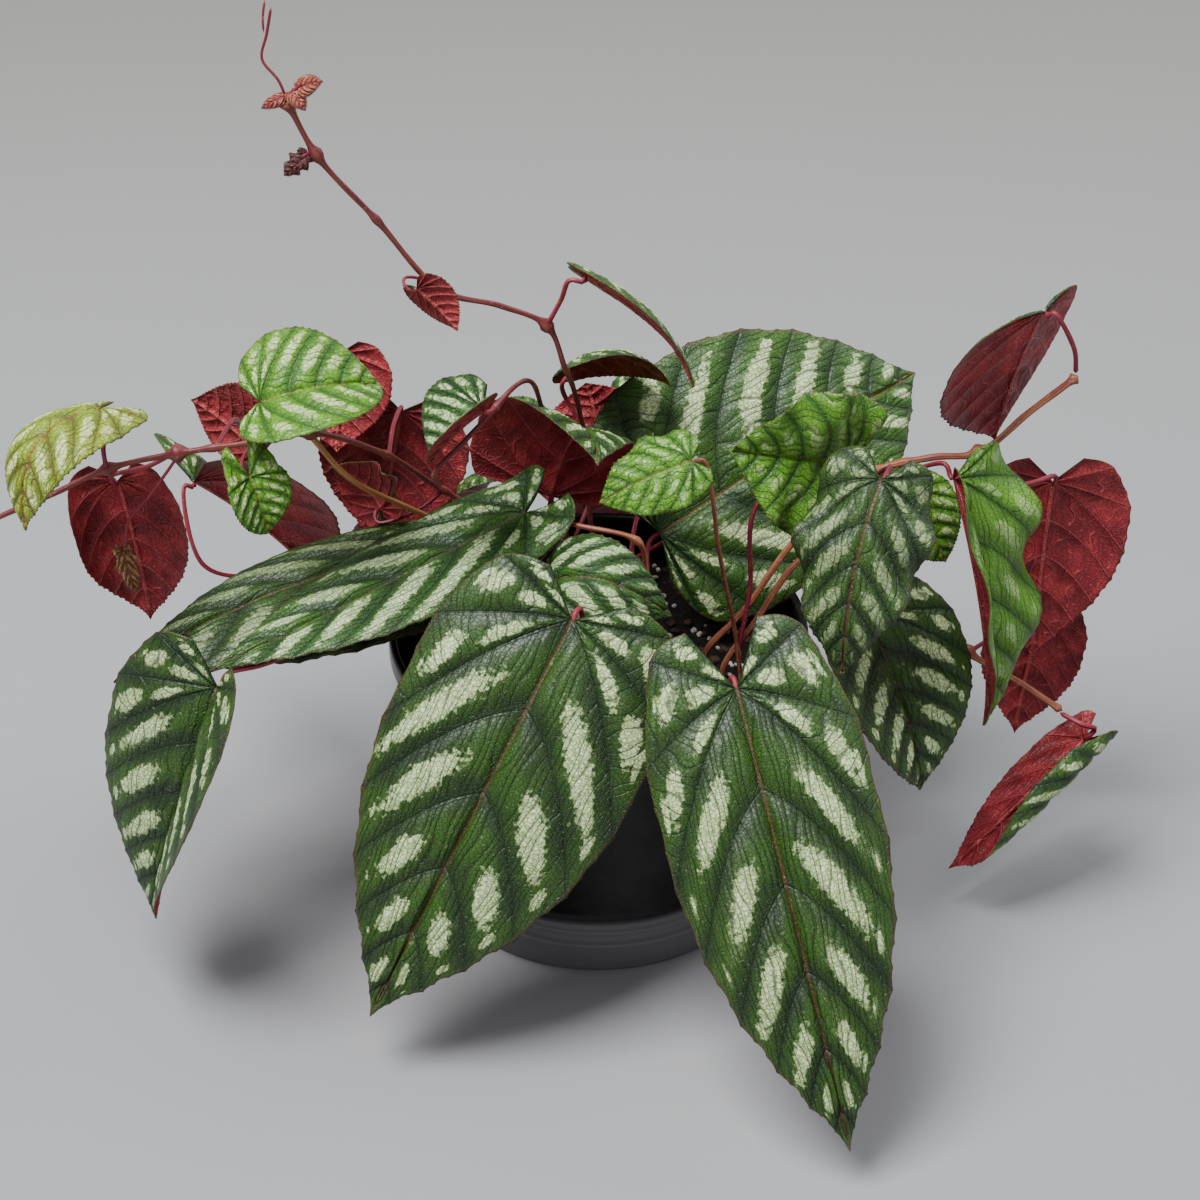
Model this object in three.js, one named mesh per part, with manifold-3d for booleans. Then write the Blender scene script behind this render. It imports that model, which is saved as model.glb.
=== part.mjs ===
// A trailing foliage vine with quilted, silver-marked leaves, growing in a round nursery pot.
// Millimetres, Z up. The origin is the middle of the flat underside of the pot.

import * as THREE from 'three';
import { mergeVertices } from 'three/addons/utils/BufferGeometryUtils.js';
import Module from 'manifold-3d';

const wasm = await Module();
wasm.setup();

// Driving dimensions

const pot = {
	rimRadius: 78,
	height: 114,
	baseRadius: 65,
	stepRadius: 68.4, // top of the stepped band at the foot
	stepHeight: 25,
	bodyRadius: 66.8, // just above that band
	shoulderRadius: 75.4, // just under the rim
	shoulderHeight: 104,
	footRound: 1.5,
	ridgeHeights: [ 15, 22 ],
	ridgeWidth: 1.6,
	ridgeOut: 1.1,
	stepRound: 0.8,
	rimRound: 1.4,
	rimTop: 1.6, // width of the flat top of the rim
	rimInside: 3, // how far below the top the inside starts to run straight down
	wall: 1.6,
	floor: 2.4,
	sides: 36,
	drainHoles: 6,
	drainRadius: 5,
	drainRing: 48,
	drainSides: 8,
};

const soil = {
	gap: 0.3, // to the pot and round each stem
	edgeHeight: 97,
	crownHeight: 101,
	roughness: 0.9,
	rings: [ 0.8, 0.5, 0.22, 0 ], // of the top, as parts of its radius
	sides: 28,
	stemFoot: 84, // how deep the stems stand
};

const blade = {
	thickness: 0.8,
	gap: 0.4, // between a stalk's end and its blade
	tooth: 0.014, // how far each vein's tooth stands out, as a part of the length,
	toothLean: 0.4, // how much of that is towards the tip,
	toothRoom: 4, // and it shrinks where the blade is narrower than one part in this of its width
	bow: 0.2, // how far a vein bows towards the tip at its middle,
	bowBack: 0.1, // how much more the veins behind the junction bow,
	bowNarrow: 0.35, // and how much those lean inwards
	waves: 2.6, // how many waves a wavy margin has,
	waveShift: 0.35, // and how far those of the two halves are apart
	firstVeins: 3, // rows up to this one start at the stalk, the later ones along the midrib
	rows: 9,
	veinCrowding: 1.35, // above 1 the side veins crowd towards the tip
	stalkLead: 4.5, // a stalk comes in from behind its seat,
	stalkBend: 1.8, // and bends square to the blade this far below it
};

const stemForm = {
	stepLength: 14,
	sides: 5,
	branchRadius: 1.1,
	knot: 1.45, // a joint's radius, as a multiple of its stem's
	knotSides: 5,
	knotRings: 4,
	footStraight: 9, // how far each stem rises straight up in its hole
	aboveSoil: 3,
};

// Where each vein row meets the margin, from the sinus behind the stalk to the tip:
// along the leaf as a part of its length, and across as a part of its half width.
const lobeDepth = 0.14;
const marginPoints = [
	[ - lobeDepth, 0.34 ], [ - 0.10, 0.70 ], [ 0.12, 0.98 ], [ 0.38, 0.95 ], [ 0.53, 0.80 ],
	[ 0.66, 0.61 ], [ 0.775, 0.41 ], [ 0.87, 0.22 ], [ 0.94, 0.08 ], [ 1.0, 0.0 ],
];

const colours = {
	mature: 0x2c4f22,
	young: 0x6f9a35,
	maroon: 0x6b1826,
	pot: 0x101112,
	soil: 0x1d1712,
	vine: 0x8a4a2c,
	stalk: 0x8c2b38,
};

// Each leaf: where its stalk joins it, its tip, the way its upper face looks (turn from the
// front towards +X, then rise, in degrees), its width, how far the midrib arches, the V fold
// and the curl of its left and right halves, and the rest only where a leaf needs it.
const leaves = [
	{ name: 'leaf_front_left', base: [ - 9, - 54, 153 ], tip: [ - 81, - 116, 25 ], face: [ - 5, 28 ],
		width: 100, arch: [ 8, 6 ], fold: [ 12, 6 ], curl: [ 25, 28 ], lobeCurl: 15,
		sides: [ 1.04, 0.97 ], size: 'large' },
	{ name: 'leaf_front_right', base: [ 47, - 78, 141 ], tip: [ 85, - 172, 16 ], face: [ 0, 36 ],
		width: 82, arch: [ 6, 10 ], fold: [ 8, 14 ], curl: [ 10, 40 ], size: 'large' },
	{ name: 'leaf_left_striped', base: [ - 27, 9, 157 ], tip: [ - 136, - 57, 133 ], face: [ - 10, 80 ],
		width: 62, arch: [ 0, - 2 ], fold: [ 4, 0 ], curl: [ 12, 12 ], lobeCurl: 55, lobe: 0.95,
		size: 'medium' },
	{ name: 'leaf_left_dark', base: [ - 59, 20, 136 ], tip: [ - 174, - 40, 116 ], face: [ - 10, 82 ],
		width: 68, arch: [ 8, 12 ], curl: [ 20, 20 ], size: 'medium', sides: [ 1.1, 0.65 ] },
	{ name: 'leaf_low_left', base: [ - 133, - 60, 128 ], tip: [ - 162, - 74, 34 ], face: [ - 20, 12 ],
		width: 62, arch: [ 4, 6 ], fold: [ 58, 5 ], curl: [ 10, 15 ], lobeCurl: 20, twist: - 18,
		size: 'medium' },
	{ name: 'leaf_far_left', base: [ - 172, - 16, 215 ], tip: [ - 194, - 52, 188 ], face: [ - 40, 50 ],
		width: 38, arch: [ 15, 17 ], curl: [ 30, 40 ], lobe: 1.6, colour: 'young' },
	{ name: 'leaf_red_hanging', base: [ - 173, 4, 174 ], tip: [ - 166, 0, 116 ], face: [ 170, 8 ],
		width: 50, arch: [ 2, 2 ], curl: [ 100, 30 ], colour: 'maroon' },
	{ name: 'leaf_red_left', base: [ - 153, 44, 149 ], tip: [ - 107, 60, 89 ], face: [ 165, 10 ],
		width: 84, arch: [ 4, 4 ], fold: [ 60, 0 ], curl: [ 20, 20 ], lobe: 0.8, colour: 'maroon' },
	{ name: 'leaf_red_behind', base: [ - 135, 80, 141 ], tip: [ - 160, 94, 156 ], face: [ 180, 10 ],
		width: 54, arch: [ 2, 2 ], curl: [ 20, 20 ], colour: 'maroon', sides: [ 1, 0.5 ], lobe: 0.5 },
	{ name: 'leaf_top_left', base: [ - 117, - 10, 214 ], tip: [ - 76, 6, 211 ], face: [ - 5, 48 ],
		width: 52, arch: [ 8, 8 ], fold: [ 0, 45 ], curl: [ 20, 20 ], colour: 'young' },
	{ name: 'leaf_small_green', base: [ - 120, - 30, 196 ], tip: [ - 115, - 34, 175 ], face: [ 30, 20 ],
		width: 26, arch: [ 2, 2 ], fold: [ 0, 30 ], lobe: 4, colour: 'young', size: 'small' },
	{ name: 'leaf_red_top', base: [ - 97, 62, 194 ], tip: [ - 99, 50, 158 ], face: [ 180, 5 ], width: 42,
		arch: [ 2, 2 ], curl: [ 30, 30 ], colour: 'maroon' },
	{ name: 'leaf_red_middle', base: [ - 75, 64, 168 ], tip: [ - 87, 62, 108 ], face: [ 175, 0 ],
		width: 58, arch: [ 2, 2 ], curl: [ 20, 20 ], colour: 'maroon' },
	{ name: 'leaf_crumpled', base: [ - 82, 37, 141 ], tip: [ - 100, 41, 157 ], face: [ 170, 30 ],
		width: 56, arch: [ 4, 4 ], fold: [ 10, 10 ], curl: [ 50, 50 ], wave: 3, lobe: 2, colour: 'maroon',
		size: 'small', sides: [ 0.75, 0.6 ] },
	{ name: 'leaf_round_striped', base: [ - 40, - 10, 211 ], tip: [ - 58, - 16, 193 ], face: [ - 40, 35 ],
		width: 44, arch: [ 2, 4 ], fold: [ 70, 0 ], curl: [ 10, 10 ], lobe: 1.8, colour: 'young',
		size: 'small' },
	{ name: 'leaf_folded_tip', base: [ - 18, 32, 150 ], tip: [ 0, - 14, 191 ], face: [ 170, 50 ],
		width: 72, arch: [ 18, 18 ], curl: [ 15, 15 ], lobe: 0.1, fold: [ 0, 22 ], sides: [ 0.66, 0.95 ] },
	{ name: 'leaf_maroon_small', base: [ - 30, 62, 143 ], tip: [ - 54, 42, 144 ], face: [ 190, 60 ],
		width: 30, arch: [ 4, 4 ], curl: [ 30, 30 ], colour: 'maroon', size: 'small' },
	{ name: 'leaf_crinkled', base: [ 32, - 26, 200 ], tip: [ 0, - 28, 184 ], face: [ - 10, 45 ],
		width: 28, arch: [ 3, 5 ], curl: [ 20, 20 ], wave: 2, colour: 'young', size: 'small' },
	{ name: 'leaf_big_back', base: [ 23, 26, 137 ], tip: [ 123, 90, 170 ], face: [ 20, 46 ], width: 98,
		arch: [ 8, 18 ], fold: [ 0, 4 ], curl: [ 0, 12 ], lobe: 0.35, sides: [ 1.12, 0.95 ], size: 'large' },
	{ name: 'leaf_behind_right', base: [ 14, 72, 152 ], tip: [ 44, 84, 170 ], face: [ - 10, 50 ],
		width: 50, arch: [ 4, 4 ], curl: [ 20, 20 ], size: 'small' },
	{ name: 'leaf_arching', base: [ - 4, 10, 253 ], tip: [ 33, - 10, 220 ], face: [ 115, 36 ], width: 50,
		arch: [ 5, 6 ], fold: [ 5, 5 ], curl: [ 15, 15 ] },
	{ name: 'leaf_orange_under', base: [ - 11, 47, 197 ], tip: [ 27, 48, 188 ], face: [ 172, 50 ],
		width: 48, arch: [ 8, 6 ], curl: [ 20, 20 ], colour: 'maroon' },
	{ name: 'leaf_maroon_back', base: [ 0, 60, 157 ], tip: [ - 5, 72, 176 ], face: [ 180, 20 ], width: 46,
		arch: [ 4, 4 ], curl: [ 20, 20 ], colour: 'maroon', size: 'small' },
	{ name: 'leaf_green_back', base: [ - 26, 66, 153 ], tip: [ - 46, 84, 157 ], face: [ - 10, 50 ],
		width: 30, arch: [ 4, 4 ], curl: [ 20, 20 ], size: 'small', lobe: 0.5 },
	{ name: 'leaf_right_bright', base: [ 85, 0, 184 ], tip: [ 45, - 14, 197 ], face: [ 0, 34 ], width: 58,
		arch: [ 6, 6 ], fold: [ 0, 55 ], curl: [ 30, 40 ], wave: 2, colour: 'young' },
	{ name: 'leaf_right_striped', base: [ 97, - 30, 195 ], tip: [ 85, - 58, 131 ], face: [ - 30, 20 ],
		width: 54, arch: [ 8, 8 ], fold: [ - 20, 10 ], curl: [ 20, 20 ] },
	{ name: 'leaf_right_dark', base: [ 98, - 12, 127 ], tip: [ 118, - 44, 70 ], face: [ 20, 20 ],
		width: 66, arch: [ 4, 10 ], fold: [ 0, 45 ], curl: [ 10, 20 ] },
	{ name: 'leaf_right_folded', base: [ 126, - 8, 182 ], tip: [ 146, - 6, 71 ], face: [ 25, 15 ],
		width: 62, arch: [ 6, 10 ], fold: [ 0, 75 ], curl: [ 25, 25 ], colour: 'young', size: 'medium',
		lobe: 0.4, sides: [ 1, 0.5 ] },
	{ name: 'leaf_right_small', base: [ 113, 10, 165 ], tip: [ 128, 6, 137 ], face: [ 10, 20 ], width: 30,
		arch: [ 3, 3 ], curl: [ 20, 20 ], colour: 'young', size: 'small' },
	{ name: 'leaf_red_heart', base: [ 168, 26, 160 ], tip: [ 166, 18, 86 ], face: [ 178, 4 ], width: 60,
		arch: [ 2, 2 ], curl: [ 40, 5 ], colour: 'maroon' },
	{ name: 'leaf_red_below', base: [ 172, 40, 92 ], tip: [ 167, 40, 33 ], face: [ 170, 20 ], width: 40,
		arch: [ 2, 2 ], curl: [ 20, 20 ], colour: 'maroon' },
	{ name: 'leaf_top_right', base: [ 157, 20, 234 ], tip: [ 150, 56, 160 ], face: [ - 149, 25 ],
		width: 66, arch: [ 2, 2 ], fold: [ 0, 20 ], curl: [ 10, 20 ], lobe: 0.3, sides: [ 1.15, 0.6 ],
		colour: 'maroon' },
	{ name: 'leaf_low_right', base: [ 184, - 10, 68 ], tip: [ 134, - 30, 21 ], face: [ 150, - 10 ],
		width: 42, arch: [ - 4, - 8 ], fold: [ 30, 0 ], curl: [ 10, 190 ], sides: [ 0.6, 1 ],
		colour: 'maroon' },
	{ name: 'leaf_tiny_red', base: [ - 62, 0, 253 ], tip: [ - 48, - 4, 239 ], face: [ 170, 0 ], width: 20,
		arch: [ 1, 1 ], fold: [ 40, 0 ], curl: [ 10, 10 ], colour: 'maroon', size: 'small' },
	{ name: 'leaf_centre', base: [ - 24, - 12, 137 ], tip: [ 27, - 26, 134 ], face: [ 0, 60 ], width: 38,
		arch: [ 20, 20 ], curl: [ 10, 30 ] },
	{ name: 'leaf_back_middle', base: [ 22, 92, 124 ], tip: [ 8, 138, 24 ], face: [ 175, 30 ], width: 70,
		arch: [ 6, 8 ], fold: [ 6, 6 ], curl: [ 20, 20 ] },
	{ name: 'leaf_back_right', base: [ 78, 80, 130 ], tip: [ 104, 118, 34 ], face: [ 150, 25 ], width: 60,
		arch: [ 6, 8 ], fold: [ 6, 6 ], curl: [ 20, 20 ] },
	{ name: 'leaf_back_left', base: [ - 62, 84, 120 ], tip: [ - 96, 112, 60 ], face: [ - 150, 25 ],
		width: 50, arch: [ 6, 8 ], fold: [ 6, 6 ], curl: [ 20, 20 ] },
	{ name: 'leaf_right_side', base: [ 96, 30, 112 ], tip: [ 128, 44, 40 ], face: [ 60, 20 ], width: 50,
		arch: [ 6, 8 ], fold: [ 6, 6 ], curl: [ 20, 20 ] },
];

// Each stem: the place where it stands in the soil, its route above that, and its branches.
// A branch that names a leaf ends square under that leaf's blade.
const stems = [
	{ name: 'stem_top', root: [ 0, 38 ], radius: 1.5, colour: 'vine',
		route: [ [ - 4, 44, 140 ], [ - 6, 46, 170 ], [ - 9, 34, 194 ], [ - 12, 18, 212 ],
			[ - 18, 16, 230 ], [ - 34, 12, 240 ], [ - 54, 8, 248 ], [ - 75, 4, 277 ], [ - 93, 0, 302 ],
			[ - 102, 0, 322 ] ],
		branches: [
			{ route: [ [ - 17.9, 15.5, 230.8 ], [ - 13, 13, 242 ] ], leaf: 'leaf_arching' },
			{ route: [ [ - 4.8, 45.8, 169.6 ], [ - 13, 49, 184 ] ], leaf: 'leaf_orange_under' },
			{ route: [ [ - 54.1, 8.7, 248.5 ], [ - 60, 5, 254 ], [ - 66, 0, 257 ] ],
				leaf: 'leaf_tiny_red', radius: 0.7 },
			{ route: [ [ - 101.3, 0.5, 319.9 ], [ - 104, 1, 328 ], [ - 109, 2, 335 ], [ - 107, 3, 343 ],
				[ - 105, 4, 352 ] ], radius: 0.6 },
			{ route: [ [ - 107.9, 3.1, 343.5 ], [ - 108, 4, 348 ], [ - 107, 5, 354 ] ], radius: 0.5 },
			{ route: [ [ - 103.5, 0.1, 320.6 ], [ - 98, - 1, 326 ], [ - 94, - 2, 330 ] ], radius: 0.9 },
			{ route: [ [ - 93.7, 0.9, 303.0 ], [ - 97, - 2, 303 ], [ - 101, - 3, 300 ] ], radius: 0.9 },
		],
		joints: [ [ - 18, 16, 230 ], [ - 54, 8, 248 ], [ - 75, 4, 277 ], [ - 93, 0, 302 ],
			[ - 102, 0, 322 ] ] },
	{ name: 'stem_left', root: [ - 24, 24 ], radius: 1.6, colour: 'vine',
		route: [ [ - 36, 36, 130 ], [ - 48, 38, 141 ], [ - 62, 34, 154 ], [ - 78, 16, 178 ],
			[ - 102, 0, 196 ], [ - 119, - 4, 195 ], [ - 149, - 6, 191 ], [ - 173, - 6, 185 ],
			[ - 195, - 8, 175 ], [ - 214, - 10, 167 ], [ - 224, - 12, 162 ] ],
		branches: [
			{ route: [ [ - 148.6, - 5.4, 191.8 ], [ - 160, - 3, 184 ] ], leaf: 'leaf_red_hanging' },
			{ route: [ [ - 147.9, - 7.4, 191.2 ], [ - 160, - 10, 175 ], [ - 167, - 14, 168 ],
				[ - 169, - 15, 158 ], [ - 172, - 15, 146 ] ], radius: 0.7 },
			{ route: [ [ - 119.0, - 3.6, 194.8 ], [ - 120, - 5, 201 ] ], leaf: 'leaf_top_left' },
			{ route: [ [ - 118.5, - 5.1, 195.0 ], [ - 122, - 14, 198 ] ],
				leaf: 'leaf_small_green', radius: 0.8 },
			{ route: [ [ - 135.5, - 5.0, 192.0 ], [ - 133, 30, 184 ] ], leaf: 'leaf_red_behind' },
			{ route: [ [ - 102.4, - 0.3, 195.5 ], [ - 100, 25, 206 ] ], leaf: 'leaf_red_top' },
			{ route: [ [ - 76.3, 16.7, 176.2 ], [ - 76, 40, 176 ] ], leaf: 'leaf_red_middle' },
			{ route: [ [ - 57.4, 36.2, 150.4 ], [ - 68, 33, 143 ] ], leaf: 'leaf_crumpled', radius: 0.9 },
			{ route: [ [ - 174.2, - 6.2, 184.1 ], [ - 173, - 12, 198 ] ], leaf: 'leaf_far_left' },
			{ route: [ [ - 25.6, 23.2, 109.6 ], [ - 38, 26, 132 ], [ - 56, 26, 141 ], [ - 73, 21, 153 ],
				[ - 90, 7, 173 ], [ - 102, 0, 195 ] ], radius: 1.3 },
		],
		joints: [ [ - 102, 0, 196 ], [ - 119, - 4, 195 ], [ - 149, - 6, 191 ], [ - 173, - 6, 185 ] ] },
	{ name: 'stem_right', root: [ 40, - 4 ], radius: 1.9, colour: 'vine',
		route: [ [ 54, 0, 120 ], [ 72, 10, 144 ], [ 99, 18, 168 ], [ 121, 18, 175 ], [ 138, 18, 177 ],
			[ 155, 18, 194 ], [ 171, 18, 209 ] ],
		branches: [
			{ route: [ [ 170.3, 19.0, 209.3 ], [ 168, 16, 221 ] ], leaf: 'leaf_top_right' },
			{ route: [ [ 138.0, 18.1, 177.8 ], [ 151, 10, 169 ] ], leaf: 'leaf_red_heart' },
			{ route: [ [ 100.3, 18.6, 168.1 ], [ 109, 12, 172 ] ], leaf: 'leaf_right_folded' },
			{ route: [ [ 111.4, 17.0, 172.1 ], [ 111, 17, 168 ] ], leaf: 'leaf_right_small', radius: 0.8 },
			{ route: [ [ 95.8, 15.8, 164.6 ], [ 103, 2, 180 ] ], leaf: 'leaf_right_striped' },
		],
		joints: [ [ 99, 18, 168 ], [ 138, 18, 177 ], [ 171, 18, 209 ] ] },
	{ name: 'stem_low_right', root: [ 46, - 14 ], radius: 1.8, colour: 'vine',
		route: [ [ 58, - 9, 122 ], [ 73, - 2, 143 ], [ 90, 4, 148 ], [ 108, 10, 136 ], [ 126, 13, 112 ],
			[ 140, 12, 93 ], [ 161, 6, 82 ], [ 175, - 6, 78 ] ],
		branches: [
			{ route: [ [ 174.2, - 5.3, 76.7 ], [ 182, - 12, 76 ] ], leaf: 'leaf_low_right', radius: 1.2 },
			{ route: [ [ 87.8, 2.9, 148.0 ], [ 92, - 8, 138 ] ], leaf: 'leaf_right_dark' },
			{ route: [ [ 140.0, 11.6, 92.3 ], [ 158, 22, 98 ] ], leaf: 'leaf_red_below' },
			{ route: [ [ 118.9, 11.8, 123.9 ], [ 122, 5, 128 ] ], radius: 0.9 },
			{ route: [ [ 90.7, 4.0, 148.1 ], [ 90, 18, 128 ] ], leaf: 'leaf_right_side' },
		],
		joints: [ [ 90, 4, 148 ], [ 140, 12, 93 ] ] },
	{ name: 'stem_centre', root: [ - 10, 26 ], radius: 1.4, colour: 'vine',
		route: [ [ - 12, 36, 125 ], [ - 14, 44, 150 ], [ - 20, 40, 178 ], [ - 24, 22, 204 ],
			[ - 30, 2, 213 ], [ - 38, - 8, 208 ], [ - 47, - 17, 202 ], [ - 57, - 23, 193 ],
			[ - 55, - 19, 186 ] ],
		branches: [
			{ route: [ [ - 35.8, - 5.2, 209.7 ] ], leaf: 'leaf_round_striped', radius: 1.1 },
			{ route: [ [ - 11.2, 31.6, 116.6 ] ], leaf: 'leaf_folded_tip' },
			{ route: [ [ - 13.6, 39.9, 137.8 ] ], leaf: 'leaf_maroon_small' },
			{ route: [ [ - 14.0, 42.3, 140.5 ] ], leaf: 'leaf_maroon_back' },
			{ route: [ [ - 15.2, 43.5, 156.8 ] ], leaf: 'leaf_green_back' },
			{ route: [ [ - 10.9, 36.4, 123.7 ], [ 1, 61, 138 ] ], leaf: 'leaf_behind_right' },
		],
		joints: [ [ - 55, - 19, 186 ] ] },
	{ name: 'stem_front', root: [ 4, - 26 ], radius: 1.6, colour: 'stalk',
		route: [ [ 3, - 30, 116 ], [ - 3, - 38, 132 ] ], leaf: 'leaf_front_left',
		branches: [
			{ route: [ [ 4, - 28, 110 ], [ 30, - 50, 124 ], [ 44, - 66, 132 ] ],
				leaf: 'leaf_front_right', radius: 1.4 },
			{ route: [ [ 4, - 28, 110 ], [ - 12, - 30, 126 ] ], leaf: 'leaf_centre' },
		] },
	{ name: 'stem_low_left', root: [ - 30, - 6 ], radius: 1.4, colour: 'stalk',
		route: [ [ - 36, - 12, 120 ], [ - 62, - 26, 139 ], [ - 95, - 40, 135 ], [ - 118, - 50, 131 ] ],
		leaf: 'leaf_low_left',
		branches: [
			{ route: [ [ - 31.0, - 8.1, 112.1 ], [ - 44, 8, 124 ] ], leaf: 'leaf_left_dark' },
		] },
	{ name: 'stem_striped', root: [ 18, 0 ], radius: 1.5, colour: 'stalk',
		route: [ [ 17, - 2, 138 ], [ 14, - 4, 153 ], [ - 7, 0, 157 ] ], leaf: 'leaf_left_striped',
		branches: [
			{ route: [ [ 18.7, 0.3, 116.6 ] ], leaf: 'leaf_big_back' },
		],
		joints: [ [ 14, - 4, 153 ] ] },
	{ name: 'stem_back', root: [ 12, 44 ], radius: 1.5, colour: 'stalk',
		route: [ [ 14, 60, 118 ], [ 20, 80, 124 ] ], leaf: 'leaf_back_middle',
		branches: [
			{ route: [ [ 12, 48, 110 ], [ 44, 62, 122 ] ], leaf: 'leaf_back_right' },
			{ route: [ [ 12, 48, 110 ], [ - 20, 54, 118 ] ], leaf: 'leaf_back_left' },
		] },
	{ name: 'stem_red_left', root: [ - 38, 26 ], radius: 1.3, colour: 'stalk',
		route: [ [ - 52, 30, 118 ], [ - 96, 36, 118 ], [ - 132, 34, 112 ], [ - 150, 28, 122 ] ],
		leaf: 'leaf_red_left' },
	{ name: 'stem_crinkled', root: [ 52, - 18 ], radius: 1.2, colour: 'vine',
		route: [ [ 50, - 16, 120 ], [ 43, - 20, 158 ] ], leaf: 'leaf_crinkled',
		branches: [
			{ route: [ [ 51, - 16, 112 ], [ 55, - 9, 134 ], [ 57, - 8, 172 ] ], leaf: 'leaf_right_bright' },
		] },
];

// Solid helpers

function closed( geometry ) {

	geometry.deleteAttribute( 'normal' );
	geometry.deleteAttribute( 'uv' );
	const merged = mergeVertices( geometry, 1e-4 );
	const index = merged.index.array;
	const position = merged.attributes.position;
	const kept = [];
	const a = new THREE.Vector3();
	const b = new THREE.Vector3();
	const c = new THREE.Vector3();
	let volume = 0;

	for ( let i = 0; i < index.length; i += 3 ) {

		const [ p, q, r ] = [ index[ i ], index[ i + 1 ], index[ i + 2 ] ];
		if ( p === q || q === r || r === p ) continue;
		a.fromBufferAttribute( position, p );
		b.fromBufferAttribute( position, q );
		c.fromBufferAttribute( position, r );
		volume += a.dot( b.cross( c ) );
		kept.push( p, q, r );

	}

	if ( volume < 0 ) kept.reverse();
	merged.setIndex( kept );
	return merged;

}

function toSolid( geometry ) {

	const merged = closed( geometry );
	return new wasm.Manifold( new wasm.Mesh( {
		numProp: 3,
		vertProperties: new Float32Array( merged.attributes.position.array ),
		triVerts: new Uint32Array( merged.index.array ),
	} ) );

}

function fromSolid( solid ) {

	const mesh = solid.getMesh();
	const geometry = new THREE.BufferGeometry();
	geometry.setAttribute( 'position', new THREE.Float32BufferAttribute( mesh.vertProperties, 3 ) );
	geometry.setIndex( Array.from( mesh.triVerts ) );
	return geometry;

}

function lathe( profile, sides ) {

	const points = profile.map( ( [ radius, height ] ) => new THREE.Vector2( radius, height ) );
	return new THREE.LatheGeometry( points, sides ).rotateX( Math.PI / 2 );

}

function named( name, geometry, colour, roughness ) {

	const material = new THREE.MeshStandardMaterial( { color: colour, roughness, metalness: 0 } );
	const mesh = new THREE.Mesh( geometry, material );
	mesh.name = name;
	return mesh;

}

// Pot

function makePot() {

	const inside = pot.baseRadius - pot.wall;
	const neck = pot.shoulderRadius - pot.wall;
	const outer = [ [ 0, 0 ], [ pot.baseRadius - pot.footRound, 0 ], [ pot.baseRadius, pot.footRound ] ];
	const taper = ( pot.stepRadius - pot.baseRadius ) / pot.stepHeight;

	for ( const height of pot.ridgeHeights ) {

		const radius = pot.baseRadius + taper * height;
		outer.push( [ radius, height - pot.ridgeWidth ] );
		outer.push( [ radius + pot.ridgeOut, height - pot.ridgeWidth / 2 ] );
		outer.push( [ radius + pot.ridgeOut, height + pot.ridgeWidth / 2 ] );
		outer.push( [ radius + taper, height + pot.ridgeWidth ] );

	}

	outer.push( [ pot.stepRadius, pot.stepHeight - pot.stepRound ] );
	outer.push( [ pot.bodyRadius, pot.stepHeight + pot.stepRound ] );
	outer.push( [ pot.shoulderRadius, pot.shoulderHeight ] );
	outer.push( [ pot.rimRadius, pot.shoulderHeight + pot.rimRound ] );
	outer.push( [ pot.rimRadius, pot.height - pot.rimRound ] );
	outer.push( [ pot.rimRadius - pot.stepRound, pot.height ] );
	outer.push( [ pot.rimRadius - pot.stepRound - pot.rimTop, pot.height ] );
	outer.push( [ neck, pot.height - pot.rimInside ], [ neck, pot.shoulderHeight ] );
	outer.push( [ pot.bodyRadius - pot.wall, pot.stepHeight ] );
	outer.push( [ inside, pot.floor + pot.footRound ], [ inside - pot.footRound, pot.floor ] );
	outer.push( [ 0, pot.floor ] );

	let solid = toSolid( lathe( outer, pot.sides ) );

	for ( let i = 0; i < pot.drainHoles; i ++ ) {

		const turn = ( i + 0.5 ) * 2 * Math.PI / pot.drainHoles;
		const cut = 4 * pot.floor;
		const hole = new THREE.CylinderGeometry( pot.drainRadius, pot.drainRadius, cut, pot.drainSides );
		hole.rotateX( Math.PI / 2 );
		hole.translate( pot.drainRing * Math.cos( turn ), pot.drainRing * Math.sin( turn ), 0 );
		solid = solid.subtract( toSolid( hole ) );

	}

	return named( 'pot', fromSolid( solid ), colours.pot, 0.35 );

}

// Soil: fills the pot, and is slightly uneven on top

function makeSoil( stemHoles ) {

	const inside = ( height ) => {

		const up = ( height - pot.stepHeight ) / ( pot.shoulderHeight - pot.stepHeight );
		return pot.bodyRadius + ( pot.shoulderRadius - pot.bodyRadius ) * up - pot.wall - soil.gap;

	};

	const top = inside( soil.edgeHeight );
	const foot = pot.baseRadius - pot.wall - soil.gap;
	const floor = pot.floor + soil.gap;
	const profile = [ [ 0, floor ], [ foot - pot.footRound, floor ], [ foot, floor + pot.footRound ],
		[ inside( pot.stepHeight ), pot.stepHeight ], [ top, soil.edgeHeight ] ];

	for ( const part of soil.rings ) {

		const fall = ( soil.crownHeight - soil.edgeHeight ) * part ** 3;
		profile.push( [ top * part, soil.crownHeight - fall ] );

	}

	const geometry = lathe( profile, soil.sides );
	const position = geometry.attributes.position;

	for ( let i = 0; i < position.count; i ++ ) {

		const x = position.getX( i );
		const y = position.getY( i );
		if ( position.getZ( i ) < soil.edgeHeight + 0.5 ) continue;
		const bump = Math.sin( 0.31 * x + 0.12 * y ) + Math.sin( 0.17 * x - 0.29 * y + 1 );
		position.setZ( i, position.getZ( i ) + soil.roughness * bump );

	}

	let solid = toSolid( geometry );
	for ( const hole of stemHoles ) solid = solid.subtract( hole );
	return named( 'soil', fromSolid( solid ), colours.soil, 0.95 );

}

// Leaf form

const radians = ( degrees ) => degrees * Math.PI / 180;

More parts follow.
